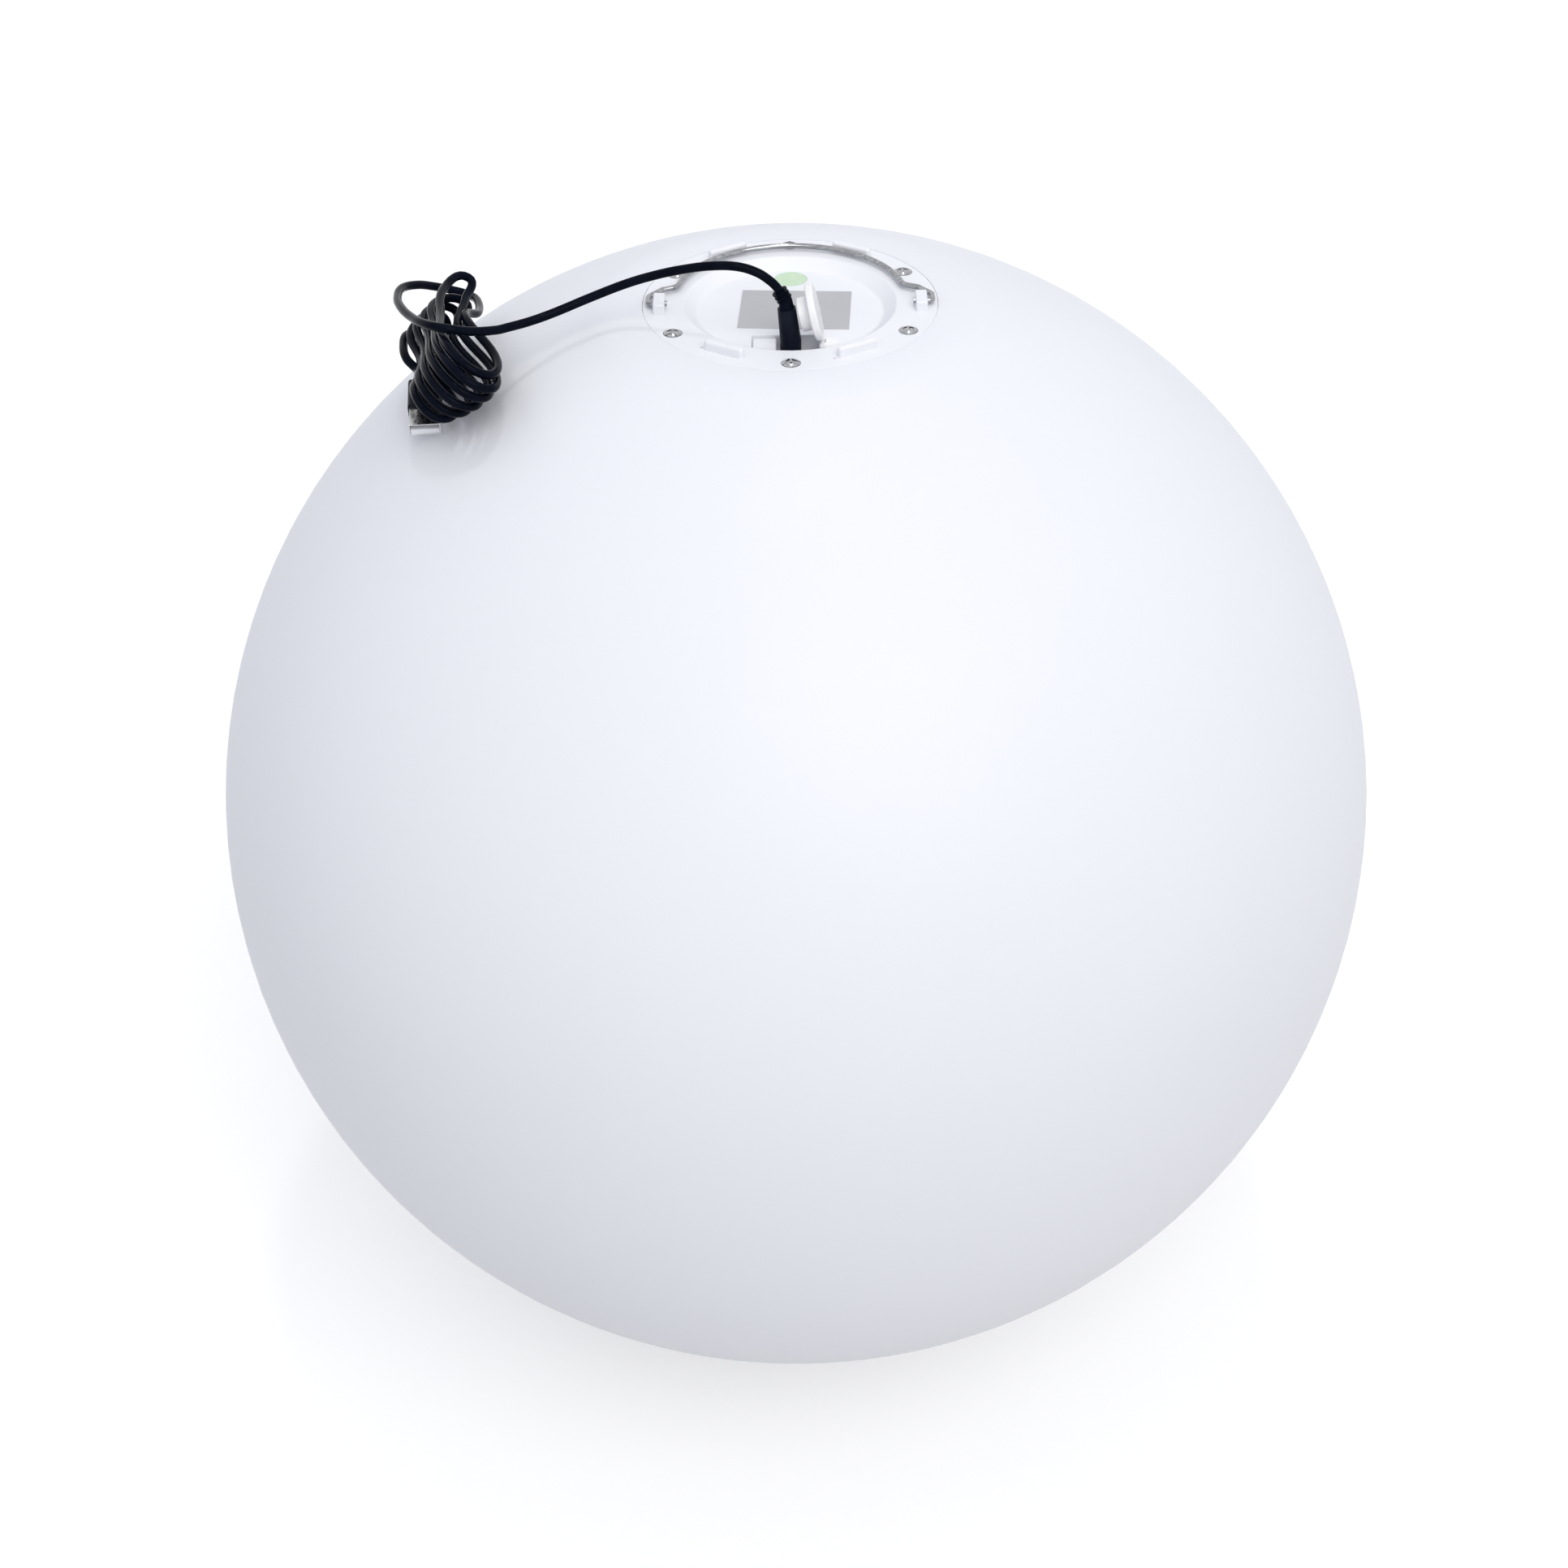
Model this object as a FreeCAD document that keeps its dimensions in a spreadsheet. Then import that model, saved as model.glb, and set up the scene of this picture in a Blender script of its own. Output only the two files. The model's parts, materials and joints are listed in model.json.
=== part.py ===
import FreeCAD, Part
import math
import os
import re

import Sketcher
from FreeCAD import Placement, Rotation, Vector

# Garden globe light, 500 mm across, lying crown down with its charging lead plugged in.
# Millimetres. The origin is the lowest point of the globe and +Z is its axis, so the round
# base plate faces up. Heights named *_z are from the origin, all other heights in the base
# are below or above the flat land round the plate ("plate_z").

SIZES = {
    # globe: one hollow moulding, cut flat round the base
    "globe_radius": 250, "globe_wall": 3, "land_margin": 10.6, "shelf_thickness": 3,
    "land_round": 55, "seat_gap": 0.15, "opening_gap": 2.5, "boss_radius": 4.6, "boss_depth": 9,
    # base plate: flange, dished recess, skirt
    "flange_reach": 14, "flange_thickness": 3, "gasket_thickness": 1, "rim_inset": 2.2,
    "dish_slope": 5.1, "dish_depth": 4.2, "dish_floor": 2.5, "skirt_radius": 44,
    "skirt_wall": 2.5, "skirt_depth": 26, "plate_round": 0.3, "rim_round": 1.2, "dish_round": 2.0,
    "edge_round": 0.5,
    # feet and lugs that stand on the flange
    "foot_height": 4, "foot_inset": 7.7, "foot_length": 17, "foot_width": 3, "foot_angle": 60,
    "foot_round": 1.3, "lug_round": 0.7, "pip_radius": 0.6, "pip_depth": 1.2, "pip_gap": 1.6,
    "lug_inset": 4.4, "lug_thickness": 4.6, "lug_near": 10, "lug_far": 1.5,
    # screws that hold the plate, and the inserts that they turn into
    "screw_inset": 5.7, "screw_start": 30, "screw_count": 6, "screw_radius": 1.6, "screw_length": 10,
    "head_radius": 3.5, "head_height": 2.1, "head_sink": 0.8, "head_gap": 0.3,
    "cross_width": 0.9, "cross_length": 4.2, "cross_depth": 1.2, "hole_gap": 0.3,
    "insert_radius": 2.7, "insert_length": 7, "insert_gap": 0.08,
    # wire bail that lies round the far side of the recess
    "wire_radius": 1.1, "pin_gap": 0.05, "pivot_y": -4.5, "pivot_height": 2.1,
    "bail_inset": 10.4, "bail_centre_y": 2, "shoulder_inset": 5.2, "shoulder_y": 7.5,
    "ear_reach": 2.1, "ear_y": 1.2, "tip_reach": 0.8, "bail_bend": 2.1, "kink_bend": 4,
    "kink_y": 12,
    # near pocket with the charging socket and the button
    "pocket_left": 15, "pocket_right": 11, "pocket_near": 38, "pocket_far": 20.5,
    "pocket_depth": 10.5, "pocket_floor": 2.5, "pocket_wall": 2.2,
    "socket_y": -28.5, "well_radius": 6.7, "well_depth": 4.5, "well_wall": 1.9, "well_floor": 2,
    "jack_radius": 5.4, "jack_gap": 0.2, "jack_flange": 8.4, "jack_flange_thickness": 2,
    "jack_bore": 2.85, "jack_bore_depth": 10.5, "jack_pin": 0.95, "jack_pin_length": 9,
    "button_width": 9.4, "button_depth": 12.6, "button_gap": 0.15, "button_sink": 5,
    "button_height": 4, "button_round": 0.8, "button_travel": 0.8, "stem_radius": 1.9,
    "stem_gap": 0.3, "stem_shift": 2, "boot_radius": 2.8, "boot_gap": 0.05, "clip_radius": 2.9,
    "clip_thickness": 0.6, "clip_seat": 0.2, "switch_side": 6, "switch_height": 3.3, "plunger_radius": 1.7,
    "plunger_height": 0.7, "plunger_gap": 0.1,
    # rating label and indicator window on the dish floor
    "label_width": 43.6, "label_height": 33.5, "label_thickness": 0.2, "label_x": 1.9,
    "label_y": 1.5, "label_turn": -3.2, "lens_radius": 6.5, "lens_thickness": 0.8, "lens_gap": 0.1,
    "lens_x": 0.4, "lens_y": 29.5, "pipe_radius": 2.5, "lamp_side": 3, "lamp_height": 1.2,
    "lamp_gap": 0.2,
    # rubber cap that stands open beside the plug, and its tether
    "hinge_x": 12.1, "knuckle_radius": 1, "knuckle_rise": 0.1, "knuckle_half": 1.4,
    "knuckle_gap": 0.2, "knuckle_outer": 3.4, "cap_reach": 12.8, "cap_radius": 11,
    "cap_thickness": 3, "stopper_radius": 6.5, "stopper_depth": 4, "cap_round": 0.8,
    "cap_lean": 13, "strap_thickness": 1.2, "strap_width": 6.8, "strap_gap": 1.5, "strap_bite": 0.2,
    "anchor_x": 16, "anchor_y": -28.5, "anchor_radius": 2.6, "anchor_stem": 1.5,
    "anchor_gap": 0.1, "barb_radius": 2.1, "barb_height": 1.4,
    # control board
    "board_depth": 29, "board_inset": 12, "board_thickness": 1.6, "board_post": 3,
    "board_post_circle": 29, "board_post_start": 68, "board_post_count": 3,
    "small_screw": 1.2, "small_head": 2.4, "small_head_height": 1.5, "small_length": 7,
    "chip_height": 1.4, "receiver_height": 6.5, "receiver_width": 6,
    "receiver_depth": 3.5, "receiver_x": -14, "receiver_y": 22,
    # housing that hangs inside the globe and its battery
    "seal_thickness": 1, "wiring_room": 9.5, "deck_thickness": 2.5, "column_radius": 4.1,
    "column_inset": 7.4, "column_count": 4, "column_start": 45, "long_bite": 8,
    "long_head": 2.9, "long_head_height": 2, "cell_radius": 9.2, "cell_length": 65,
    "cell_spacing": 19.2, "cell_gap": 0.15, "cradle_length": 58, "cradle_width": 38.9,
    "cradle_height": 14, "cell_lift": 3, "strap_band": 12, "band_thickness": 0.8, "band_gap": 0.3,
    # light engine under the housing
    "spreader_inset": 11, "spreader_thickness": 2, "led_board_thickness": 1.6,
    "led_side": 5, "led_height": 1.2, "led_outer_circle": 25, "led_outer_count": 12,
    "led_inner_circle": 12, "led_inner_count": 6, "dome_inset": 6, "dome_wall": 2,
    "dome_flange_inset": 0.4, "dome_flange_thickness": 2.5, "dome_rim_width": 9.2,
    "dome_screw_inset": 2.9, "dome_screw_count": 6, "dome_screw_start": 15,
    "dome_screw_length": 6, "dome_screw_radius": 1, "dome_head_radius": 2, "dome_head_height": 1.4,
    # internal wires
    "wire_core": 0.8, "battery_wire_reach": 3, "battery_wire_x": 24, "battery_wire_y": 5,
    "led_wire_x": 0, "led_wire_y": 26, "led_wire_start": -10, "led_wire_drop": 8,
    "led_wire_rise": 5, "wire_bite": 0.4, "wire_bend": 2, "wire_pitch": 2.2, "wire_hole": 3.4,
    # charging lead
    "lead_radius": 1.75, "lead_start": 2.6, "plug_radius": 4.1, "plug_neck": 3.5, "plug_lift": 0.2,
    "plug_straight": 12.5, "plug_taper": 13.5, "plug_lean": 6, "barrel_radius": 2.75,
    "barrel_bore": 1.25, "barrel_length": 9.5, "relief_knee": 3, "relief_length": 5,
    "relief_base": 2.9, "relief_middle": 2.6, "relief_tip": 2.2, "relief_rings": 3,
    "relief_ring": 0.5, "relief_lean": 30,
    # USB plug at the far end
    "usb_width": 13.2, "usb_thickness": 7.2, "usb_length": 17, "usb_round": 1.6,
    "usb_shell_width": 12, "usb_shell_height": 4.5, "usb_shell_length": 12.5,
    "usb_shell_wall": 0.35, "usb_tongue_width": 11, "usb_tongue_height": 1.8,
    "usb_tongue_gap": 0.3, "usb_neck_radius": 3, "usb_neck_length": 7,
}

DERIVED = {
    "plate_radius": "skirt_radius + flange_reach",
    "land_radius": "plate_radius + land_margin",
    "rim_radius": "skirt_radius - rim_inset",
    "dish_radius": "rim_radius - dish_slope",
    "foot_circle": "plate_radius - foot_inset",
    "screw_circle": "plate_radius - screw_inset",
    "lug_outer": "plate_radius - lug_inset",
    "lug_inner": "lug_outer - lug_thickness",
    "bail_tip": "lug_inner - tip_reach",
    "ear_x": "lug_outer + ear_reach",
    "shoulder_x": "ear_x - shoulder_inset",
    "bail_radius": "ear_x - bail_inset",
    "board_radius": "skirt_radius - board_inset",
    "column_circle": "skirt_radius - column_inset",
    "spreader_radius": "skirt_radius - spreader_inset",
    "dome_radius": "skirt_radius - dome_inset",
    "dome_flange": "skirt_radius - dome_flange_inset",
    "dome_inner": "dome_flange - dome_rim_width",
    "dome_screw_circle": "skirt_radius - dome_screw_inset",
    "long_length": "housing_depth - long_head_height - edge_round - skirt_depth + long_bite",
    "wire_depth": "(cell_depth - cell_radius + board_bottom) / 2",
    "plate_z": "globe_radius + sqrt(globe_radius^2 - land_radius^2)",
    "seat_depth": "flange_thickness + gasket_thickness",
    "opening_radius": "skirt_radius + opening_gap",
    "shelf_depth": "seat_depth + shelf_thickness",
    "hole_radius": "screw_radius + hole_gap",
    "pocket_bottom": "pocket_depth + pocket_floor",
    "well_bottom": "pocket_depth + well_depth",
    "boss_bottom": "well_bottom + well_floor",
    "button_x": "button_gap + button_width / 2 - pocket_left",
    "stem_x": "button_x - stem_shift",
    "button_y": "-pocket_far - button_gap * 3 - button_depth / 2",
    "button_bottom": "button_sink + button_height",
    "switch_top": "board_depth - switch_height - plunger_height",
    "stem_length": "switch_top - plunger_gap - button_travel - button_bottom",
    "clip_depth": "pocket_bottom + clip_seat",
    "board_bottom": "board_depth + board_thickness",
    "housing_top": "skirt_depth + seal_thickness",
    "housing_depth": "board_bottom + wiring_room + 2 * cell_radius + cell_lift + deck_thickness",
    "deck_top": "housing_depth - deck_thickness",
    "spreader_bottom": "housing_depth + spreader_thickness",
    "led_board_bottom": "spreader_bottom + led_board_thickness",
    "cell_depth": "deck_top - cell_lift - cell_radius",
    "hinge_depth": "dish_depth - knuckle_rise - knuckle_radius",
    "dish_bottom": "dish_depth + dish_floor",
    "plug_bottom": "well_bottom - plug_lift",
    "bend_x": "-sin(plug_lean * 1deg) * plug_taper",
    "bend_height": "plug_straight - plug_bottom + cos(plug_lean * 1deg) * plug_taper",
    "knee_x": "bend_x - sin(plug_lean * 1deg) * relief_knee",
    "knee_height": "bend_height + cos(plug_lean * 1deg) * relief_knee",
    "tip_x": "knee_x - sin(relief_lean * 1deg) * relief_length",
    "tip_height": "knee_height + cos(relief_lean * 1deg) * relief_length",
}

# The lead's way after its first straight run: up and over the plate's edge, clear of the bail.
# Each point is its x, its y and its height above the plate's land.
LEAD_RISE = [
    (-9.6, -28.4, 24.1), (-15.5, -28.2, 27.6), (-24.5, -27.4, 28.5), (-34.0, -25.4, 27.1),
    (-45.0, -22.3, 23.9), (-56.0, -19.6, 20.0), (-69.0, -18.8, 15.2),
]
# Then down beside the globe to the hank, as places beside the hank: along it, across it and
# above the globe.
LEAD_FALL = [(56.2, 51.4, 14.8), (56.4, 41.7, 16.2), (57.4, 32.4, 19.0)]

# The hank lies on the globe. Its middle is found by leaning out from the axis and turning to
# a bearing, its loops run along HANK_RUN and stack up away from the globe.
HANK_LEAN = 34.3
HANK_BEARING = 173.7
HANK_RUN = Vector(0.245, -0.937, 0.245)
HANK_TILT = 62
LOOP_STEP = 4.7
WAIST = {"along": 31, "across": -5, "height": 14.4}
# the lead's way before the loops: over the waist, back round it in a wide loop and under it
HANK_START = [
    (59.6, 23.9, 23.8), (62.0, 16.5, 30.6), (62.2, 10.6, 37.3), (55.1, 5.9, 39.5),
    (39.1, 2.9, 37.6), (22.9, 1.7, 36.6), (8.3, 2.4, 35.7), (-4.9, 5.5, 34.2),
    (-13.0, 10.5, 29.8), (-18.8, 14.9, 24.5), (-22.8, 19.2, 19.1), (-21.1, 23.3, 14.5),
    (-12.1, 25.4, 11.4), (10.2, 22.7, 12.5),
]
# each loop: reach, swell and shift of its near lobe, then reach, swell, shift and rise of its
# far lobe, and half its width at the waist
LOOPS = [
    (48.7, 21, -5.1, 33, 4, 15.5, -0.1, 4.6), (52.8, 22, -3.8, 31, 10, 13.3, -4.2, 4.6),
    (51.5, 22, -3.8, 31, 10, 12.4, -1.8, 4.6), (48.7, 21, -4.9, 31, 10, 11.5, 0.9, 4.2),
    (44.0, 21, -5.7, 31, 10, 10.6, 3.5, 3.4), (37.7, 19, -7.0, 30, 9, 9.7, 6.3, 2.4),
]
STATIONS = 8    # places per loop, one for each quarter turn of its two lobes
# the way from the last loop's waist round its far side to the USB plug
HANK_END = [
    (23.3, -8.6, 19.5), (12.9, -6.8, 20.8), (2.5, -3.9, 20.3), (-4.9, -1.8, 15.9),
    (-5.5, -2.7, 10.1), (3.5, -6.6, 7.5),
]
# the USB plug's middle line from the back of its grip to its front edge, beside the hank
USB_BACK = (28.92, -9.96, 8.03)
USB_FRONT = (55.91, -19.64, 7.31)

doc = FreeCAD.newDocument("GlobeLight")
sheet = doc.addObject("Spreadsheet::Sheet", "Sizes")
gauge = doc.addObject("App::FeaturePython", "Gauge")
gauge.addProperty("App::PropertyFloat", "Reading")
nodes = []


def fill_sheet():
    """One row for each driving size: its name and its plain number."""
    for row, (alias, number) in enumerate(SIZES.items(), start=1):
        sheet.set(f"A{row}", alias)
        sheet.set(f"B{row}", str(number))
        sheet.setAlias(f"B{row}", alias)
    doc.recompute()


def formula(text):
    """An expression with each size looked up in the sheet and each derived place spelled out."""
    def spell(match):
        word = match.group(0)
        if word in DERIVED:
            return "(" + formula(DERIVED[word]) + ")"
        return "Sizes." + word if word in SIZES else word
    return re.sub(r"[a-z][a-z_]*", spell, str(text))


def value(text):
    """The number that a formula gives now."""
    gauge.setExpression("Reading", formula(text))
    gauge.recompute()
    return gauge.Reading


# ---- construction helpers ----

def keep(obj, label):
    """Name a finished sub-part and list it for export."""
    obj.Label = label
    nodes.append(obj)
    return obj


def seat(obj, x=0, y=0, z=0, axis=None, angle=0):
    """Place a piece by formulas: its position, and its turn about one axis."""
    if axis is not None:
        obj.Placement = Placement(Vector(), Rotation(axis, value(angle)))
        obj.setExpression("Placement.Rotation.Angle", formula(angle))
    for side, text in zip("xyz", (x, y, z)):
        obj.setExpression("Placement.Base." + side, formula(text))
    return obj


def primitive(kind, name, place, **sizes):
    obj = doc.addObject("Part::" + kind, name)
    for size, text in sizes.items():
        obj.setExpression(size, formula(text))
    return seat(obj, *place)


def rod(name, x, y, z, radius, height):
    """An upright cylinder standing on height z."""
    return primitive("Cylinder", name, (x, y, z), Radius=radius, Height=height)


def block(name, x, y, z, length, width, height):
    """A box standing on height z, centred on x and y."""
    place = (f"{x} - ({length}) / 2", f"{y} - ({width}) / 2", z)
    return primitive("Box", name, place, Length=length, Width=width, Height=height)


def fuse(name, *parts):
    obj = doc.addObject("Part::MultiFuse", name)
    obj.Shapes = list(parts)
    return obj


def cut(name, base, *tools):
    obj = doc.addObject("Part::Cut", name)
    obj.Base = base
    obj.Tool = tools[0] if len(tools) == 1 else fuse(name + "_tools", *tools)
    return obj


def common(name, first, second):
    obj = doc.addObject("Part::MultiCommon", name)
    obj.Shapes = [first, second]
    return obj


def tube_ring(name, x, y, z, outer, inner, height):
    """A flat ring or sleeve standing on height z."""
    return cut(name, rod(name + "_outer", x, y, z, outer, height),
               rod(name + "_inner", x, y, z, inner, height))


def spots(circle, count, start=0):
    """Positions evenly round a circle, as pairs of formulas."""
    steps = int(value(count))
    angles = [value(start) + 360 * i / steps for i in range(steps)]
    return [(f"{circle} * cos({a}deg)", f"{circle} * sin({a}deg)") for a in angles]


def rods(name, places, z, radius, height):
    """Equal upright cylinders at several positions."""
    return [rod(f"{name}_{i}", x, y, z, radius, height) for i, (x, y) in enumerate(places)]


def blocks_at(name, places, z, length, width, height):
    return [block(f"{name}_{i}", x, y, z, length, width, height) for i, (x, y) in enumerate(places)]


def group(label, parts):
    """Separate solids that share one sub-part."""
    obj = doc.addObject("Part::Compound", label)
    obj.Links = parts
    return keep(obj, label)


def new_body(name, *place):
    """A body at formulas for its place, or at the origin."""
    body = doc.addObject("PartDesign::Body", name)
    return seat(body, *place) if place else body


def sketch_on(body, name, role, lift=0):
    """An empty sketch on one of the body's own origin planes, lifted off it."""
    plane = next(item for item in body.Origin.OriginFeatures if item.Role == role)
    sketch = body.newObject("Sketcher::SketchObject", name)
    sketch.AttachmentSupport = [(plane, "")]
    sketch.MapMode = "FlatFace"
    sketch.setExpression("AttachmentOffset.Base.z", formula(lift))
    return sketch


def hold(sketch, geometry, point, x, y):
    """Fix one point of a sketch at formulas from its origin."""
    for kind, text in (("DistanceX", x), ("DistanceY", y)):
        number = sketch.addConstraint(Sketcher.Constraint(kind, -1, 1, geometry, point, value(text)))
        sketch.setExpression(f"Constraints[{number}]", formula(text))


def draw_outline(sketch, corners):
    """A closed chain of straight edges with every corner held."""
    first = sketch.GeometryCount
    ends = [Vector(value(x), value(y), 0) for x, y in corners]
    for start, end in zip(ends, ends[1:] + ends[:1]):
        sketch.addGeometry(Part.LineSegment(start, end))
    for i, (x, y) in enumerate(corners):
        before = first + (i - 1) % len(corners)
        sketch.addConstraint(Sketcher.Constraint("Coincident", before, 2, first + i, 1))
        hold(sketch, first + i, 1, x, y)


def draw_rectangle(sketch, left, right, low, high):
    draw_outline(sketch, [(left, low), (right, low), (right, high), (left, high)])


def draw_circle(sketch, x, y, radius):
    centre = Vector(value(x), value(y), 0)
    number = sketch.addGeometry(Part.Circle(centre, Vector(0, 0, 1), value(radius)))
    hold(sketch, number, 3, x, y)
    rule = sketch.addConstraint(Sketcher.Constraint("Radius", number, value(radius)))
    sketch.setExpression(f"Constraints[{rule}]", formula(radius))


def revolve(body, sketch, name):
    obj = body.newObject("PartDesign::Revolution", name)
    obj.Profile = sketch
    obj.ReferenceAxis = (sketch, ["V_Axis"])
    obj.Angle = 360
    return obj


def pad(body, sketch, name, length, down=False):
    obj = body.newObject("PartDesign::Pad", name)
    obj.Profile = sketch
    obj.setExpression("Length", formula(length))
    obj.Reversed = down
    return obj


def pocket(body, sketch, name, length, both=False):
    """Cut below the sketch, or on both sides of it."""
    obj = body.newObject("PartDesign::Pocket", name)
    obj.Profile = sketch
    obj.setExpression("Length", formula(length))
    obj.Midplane = both
    return obj


def sink(body, name, places, top, radius, depth):
    """Round blind holes of one size, cut down from a height."""
    sketch = sketch_on(body, name + "_sketch", "XY_Plane", top)
    for x, y in places:
        draw_circle(sketch, x, y, radius)
    return pocket(body, sketch, name, depth)


def round_edges(body, name, base, radius, wanted):
    """Fillet the edges of a feature that a test picks out."""
    doc.recompute()
    picked = [f"Edge{i}" for i, edge in enumerate(base.Shape.Edges, start=1) if wanted(edge)]
    obj = body.newObject("PartDesign::Fillet", name)
    obj.Base = (base, picked)
    obj.setExpression("Radius", formula(radius))
    return obj


def is_ring(edge, radius, height):
    """Whether an edge is a level circle of this radius at this height."""
    box = edge.BoundBox
    near = abs(box.ZMin - height) < 0.01 and abs(box.ZMax - height) < 0.01
    return near and abs(box.XLength / 2 - radius) < 0.01 and abs(box.YLength / 2 - radius) < 0.01


def turned(x, y, degrees):
    """The formulas of a point turned about the plate's axis."""
    return (f"({x}) * cos({degrees}) - ({y}) * sin({degrees})",
            f"({x}) * sin({degrees}) + ({y}) * cos({degrees})")


# ---- globe ----

def globe_shell():
    """Hollow ball with a flat land, a seat for the plate, an opening and six screw bosses."""
    whole = primitive("Sphere", "ball", (0, 0, "globe_radius"), Radius="globe_radius")
    above = block("above_land", 0, 0, "plate_z", "2 * globe_radius", "2 * globe_radius", "globe_radius")
    cavity = primitive("Sphere", "cavity", (0, 0, "globe_radius"), Radius="globe_radius - globe_wall")
    roof = block("above_shelf", 0, 0, "plate_z - shelf_depth", "2 * globe_radius",
                 "2 * globe_radius", "globe_radius")
    hollow = cut("hollow", cavity, roof)
    seat_cut = rod("plate_seat", 0, 0, "plate_z - seat_depth", "plate_radius + seat_gap", "2 * seat_depth")
    opening = rod("opening", 0, 0, "plate_z - 2 * shelf_depth", "opening_radius", "3 * shelf_depth")
    flat = new_body("flat_ball")
    flat.BaseFeature = cut("ball_with_land", whole, above)
    land = value("land_radius"), value("plate_z")
    round_edges(flat, "land_edge", flat.Group[0], "land_round", lambda e: is_ring(e, *land))
    wall = cut("moulding", flat, hollow, seat_cut, opening)
    places = spots("screw_circle", "screw_count", "screw_start")
    bosses = rods("boss", places, "plate_z - shelf_depth - boss_depth", "boss_radius",
                  "boss_depth + shelf_thickness / 2")
    sockets = rods("insert_seat", places, "plate_z - seat_depth - insert_length", "insert_radius",
                   "insert_length")
    tips = rods("screw_room", places, "plate_z - seat_depth - screw_length", "hole_radius",
                "screw_length")
    keep(cut("shell", fuse("shell_with_bosses", wall, *bosses), *sockets, *tips), "globe_shell")


def rim_inserts():
    """Brass inserts moulded into the bosses, flush with the shelf."""
    places = spots("screw_circle", "screw_count", "screw_start")
    low = "plate_z - seat_depth - insert_length"
    group("rim_inserts", [tube_ring(f"insert_{i}", x, y, low, "insert_radius",
                                    "screw_radius + insert_gap", "insert_length")
                          for i, (x, y) in enumerate(places)])


def base_gasket():
    """Flat rubber ring between the shelf and the flange, holed for the screws."""
    low = "plate_z - seat_depth"
    ring = tube_ring("gasket_ring", 0, 0, low, "plate_radius", "opening_radius", "gasket_thickness")
    holes = rods("gasket_hole", spots("screw_circle", "screw_count", "screw_start"), low, "hole_radius",
                 "gasket_thickness")
    keep(cut("gasket", ring, *holes), "base_gasket")


def screws(label, places, seat_height, radius, length, head, head_height, up=True):
    """Pan-head screws with a crossed recess; their heads sit on seat_height."""
    solids = []
    for i, (x, y) in enumerate(places):
        name = f"{label}_{i}"
        shank_low = f"{seat_height} - ({length})" if up else seat_height
        head_low = seat_height if up else f"{seat_height} - ({head_height})"
        slot_low = (f"{seat_height} + ({head_height}) - cross_depth" if up
                    else f"{seat_height} - ({head_height})")
        shank = rod(name + "_shank", x, y, shank_low, radius, length)
        cap = rod(name + "_head", x, y, head_low, head, head_height)
        cross = [block(name + "_slot", x, y, slot_low, "cross_length", "cross_width", "cross_depth"),
                 block(name + "_bar", x, y, slot_low, "cross_width", "cross_length", "cross_depth")]
        solids.append(cut(name, fuse(name + "_blank", shank, cap), *cross))
    group(label, solids)


def base_screws():
    """Domed pan heads: each is a short cylinder met by a ball, with a crossed recess."""
    solids = []
    for i, (x, y) in enumerate(spots("screw_circle", "screw_count", "screw_start")):
        name = f"base_screw_{i}"
        low = "plate_z - head_sink"
        shank = rod(name + "_shank", x, y, f"{low} - screw_length", "screw_radius",
                    "screw_length + head_height / 2")
        blank = rod(name + "_head", x, y, low, "head_radius", "head_height")
        dome = primitive("Sphere", name + "_dome", (x, y, f"{low} + head_height - 1.6 * head_radius"),
                         Radius="1.6 * head_radius")
        top = f"{low} + head_height - cross_depth"
        cross = [block(name + "_slot", x, y, top, "cross_length", "cross_width", "cross_depth"),
                 block(name + "_bar", x, y, top, "cross_width", "cross_length", "cross_depth")]
        solids.append(cut(name, fuse(name + "_blank", shank, common(name + "_pan", blank, dome)), *cross))
    group("base_screws", solids)


# ---- base plate ----

def plate_section(body):
    """The turned form: dish, flange and skirt, with its rims rounded."""
    section = sketch_on(body, "plate_profile", "XZ_Plane")
    draw_outline(section, [
        (0, "-dish_depth"), ("dish_radius", "-dish_depth"), ("rim_radius", 0), ("plate_radius", 0),
        ("plate_radius", "-flange_thickness"), ("skirt_radius", "-flange_thickness"),
        ("skirt_radius", "-skirt_depth"), ("skirt_radius - skirt_wall", "-skirt_depth"),
        ("skirt_radius - skirt_wall", "-dish_bottom"), (0, "-dish_bottom")])
    form = revolve(body, section, "plate_form")
    rounds = [("plate_edge", "plate_round", "plate_radius", 0),
              ("rim_edge", "rim_round", "rim_radius", 0),
              ("dish_edge", "dish_round", "dish_radius", "-dish_depth")]
    for name, radius, circle, height in rounds:
        form = round_edges(body, name, form, radius,
                           lambda e, c=circle, z=height: is_ring(e, value(c), value(z)))
    return form


def plate_feet(body):
    """Four foot ribs and two bail lugs, one height, with rounded edges."""
    sketch = sketch_on(body, "foot_sketch", "XY_Plane")
    half = "foot_length / 2"
    inner, outer = "foot_circle - foot_width / 2", "foot_circle + foot_width / 2"
    for sign in ("", "180deg - ", "180deg + ", "-"):
        angle = f"{sign}foot_angle * 1deg"
        corners = [(inner, f"-{half}"), (outer, f"-{half}"), (outer, half), (inner, half)]
        draw_outline(sketch, [turned(x, y, angle) for x, y in corners])
    draw_rectangle(sketch, "lug_inner", "lug_outer", "-lug_near", "lug_far")
    draw_rectangle(sketch, "-lug_outer", "-lug_inner", "-lug_near", "lug_far")
    feet = pad(body, sketch, "feet", "foot_height")
    beyond = value("foot_circle") / 2
    soft = round_edges(body, "foot_edges", feet, "foot_round",
                       lambda e: e.BoundBox.ZMax > 1 and abs(e.BoundBox.Center.y) > beyond)
    round_edges(body, "lug_edges", soft, "lug_round",
                lambda e: e.BoundBox.ZMax > 1 and abs(e.BoundBox.Center.y) < beyond)


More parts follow.
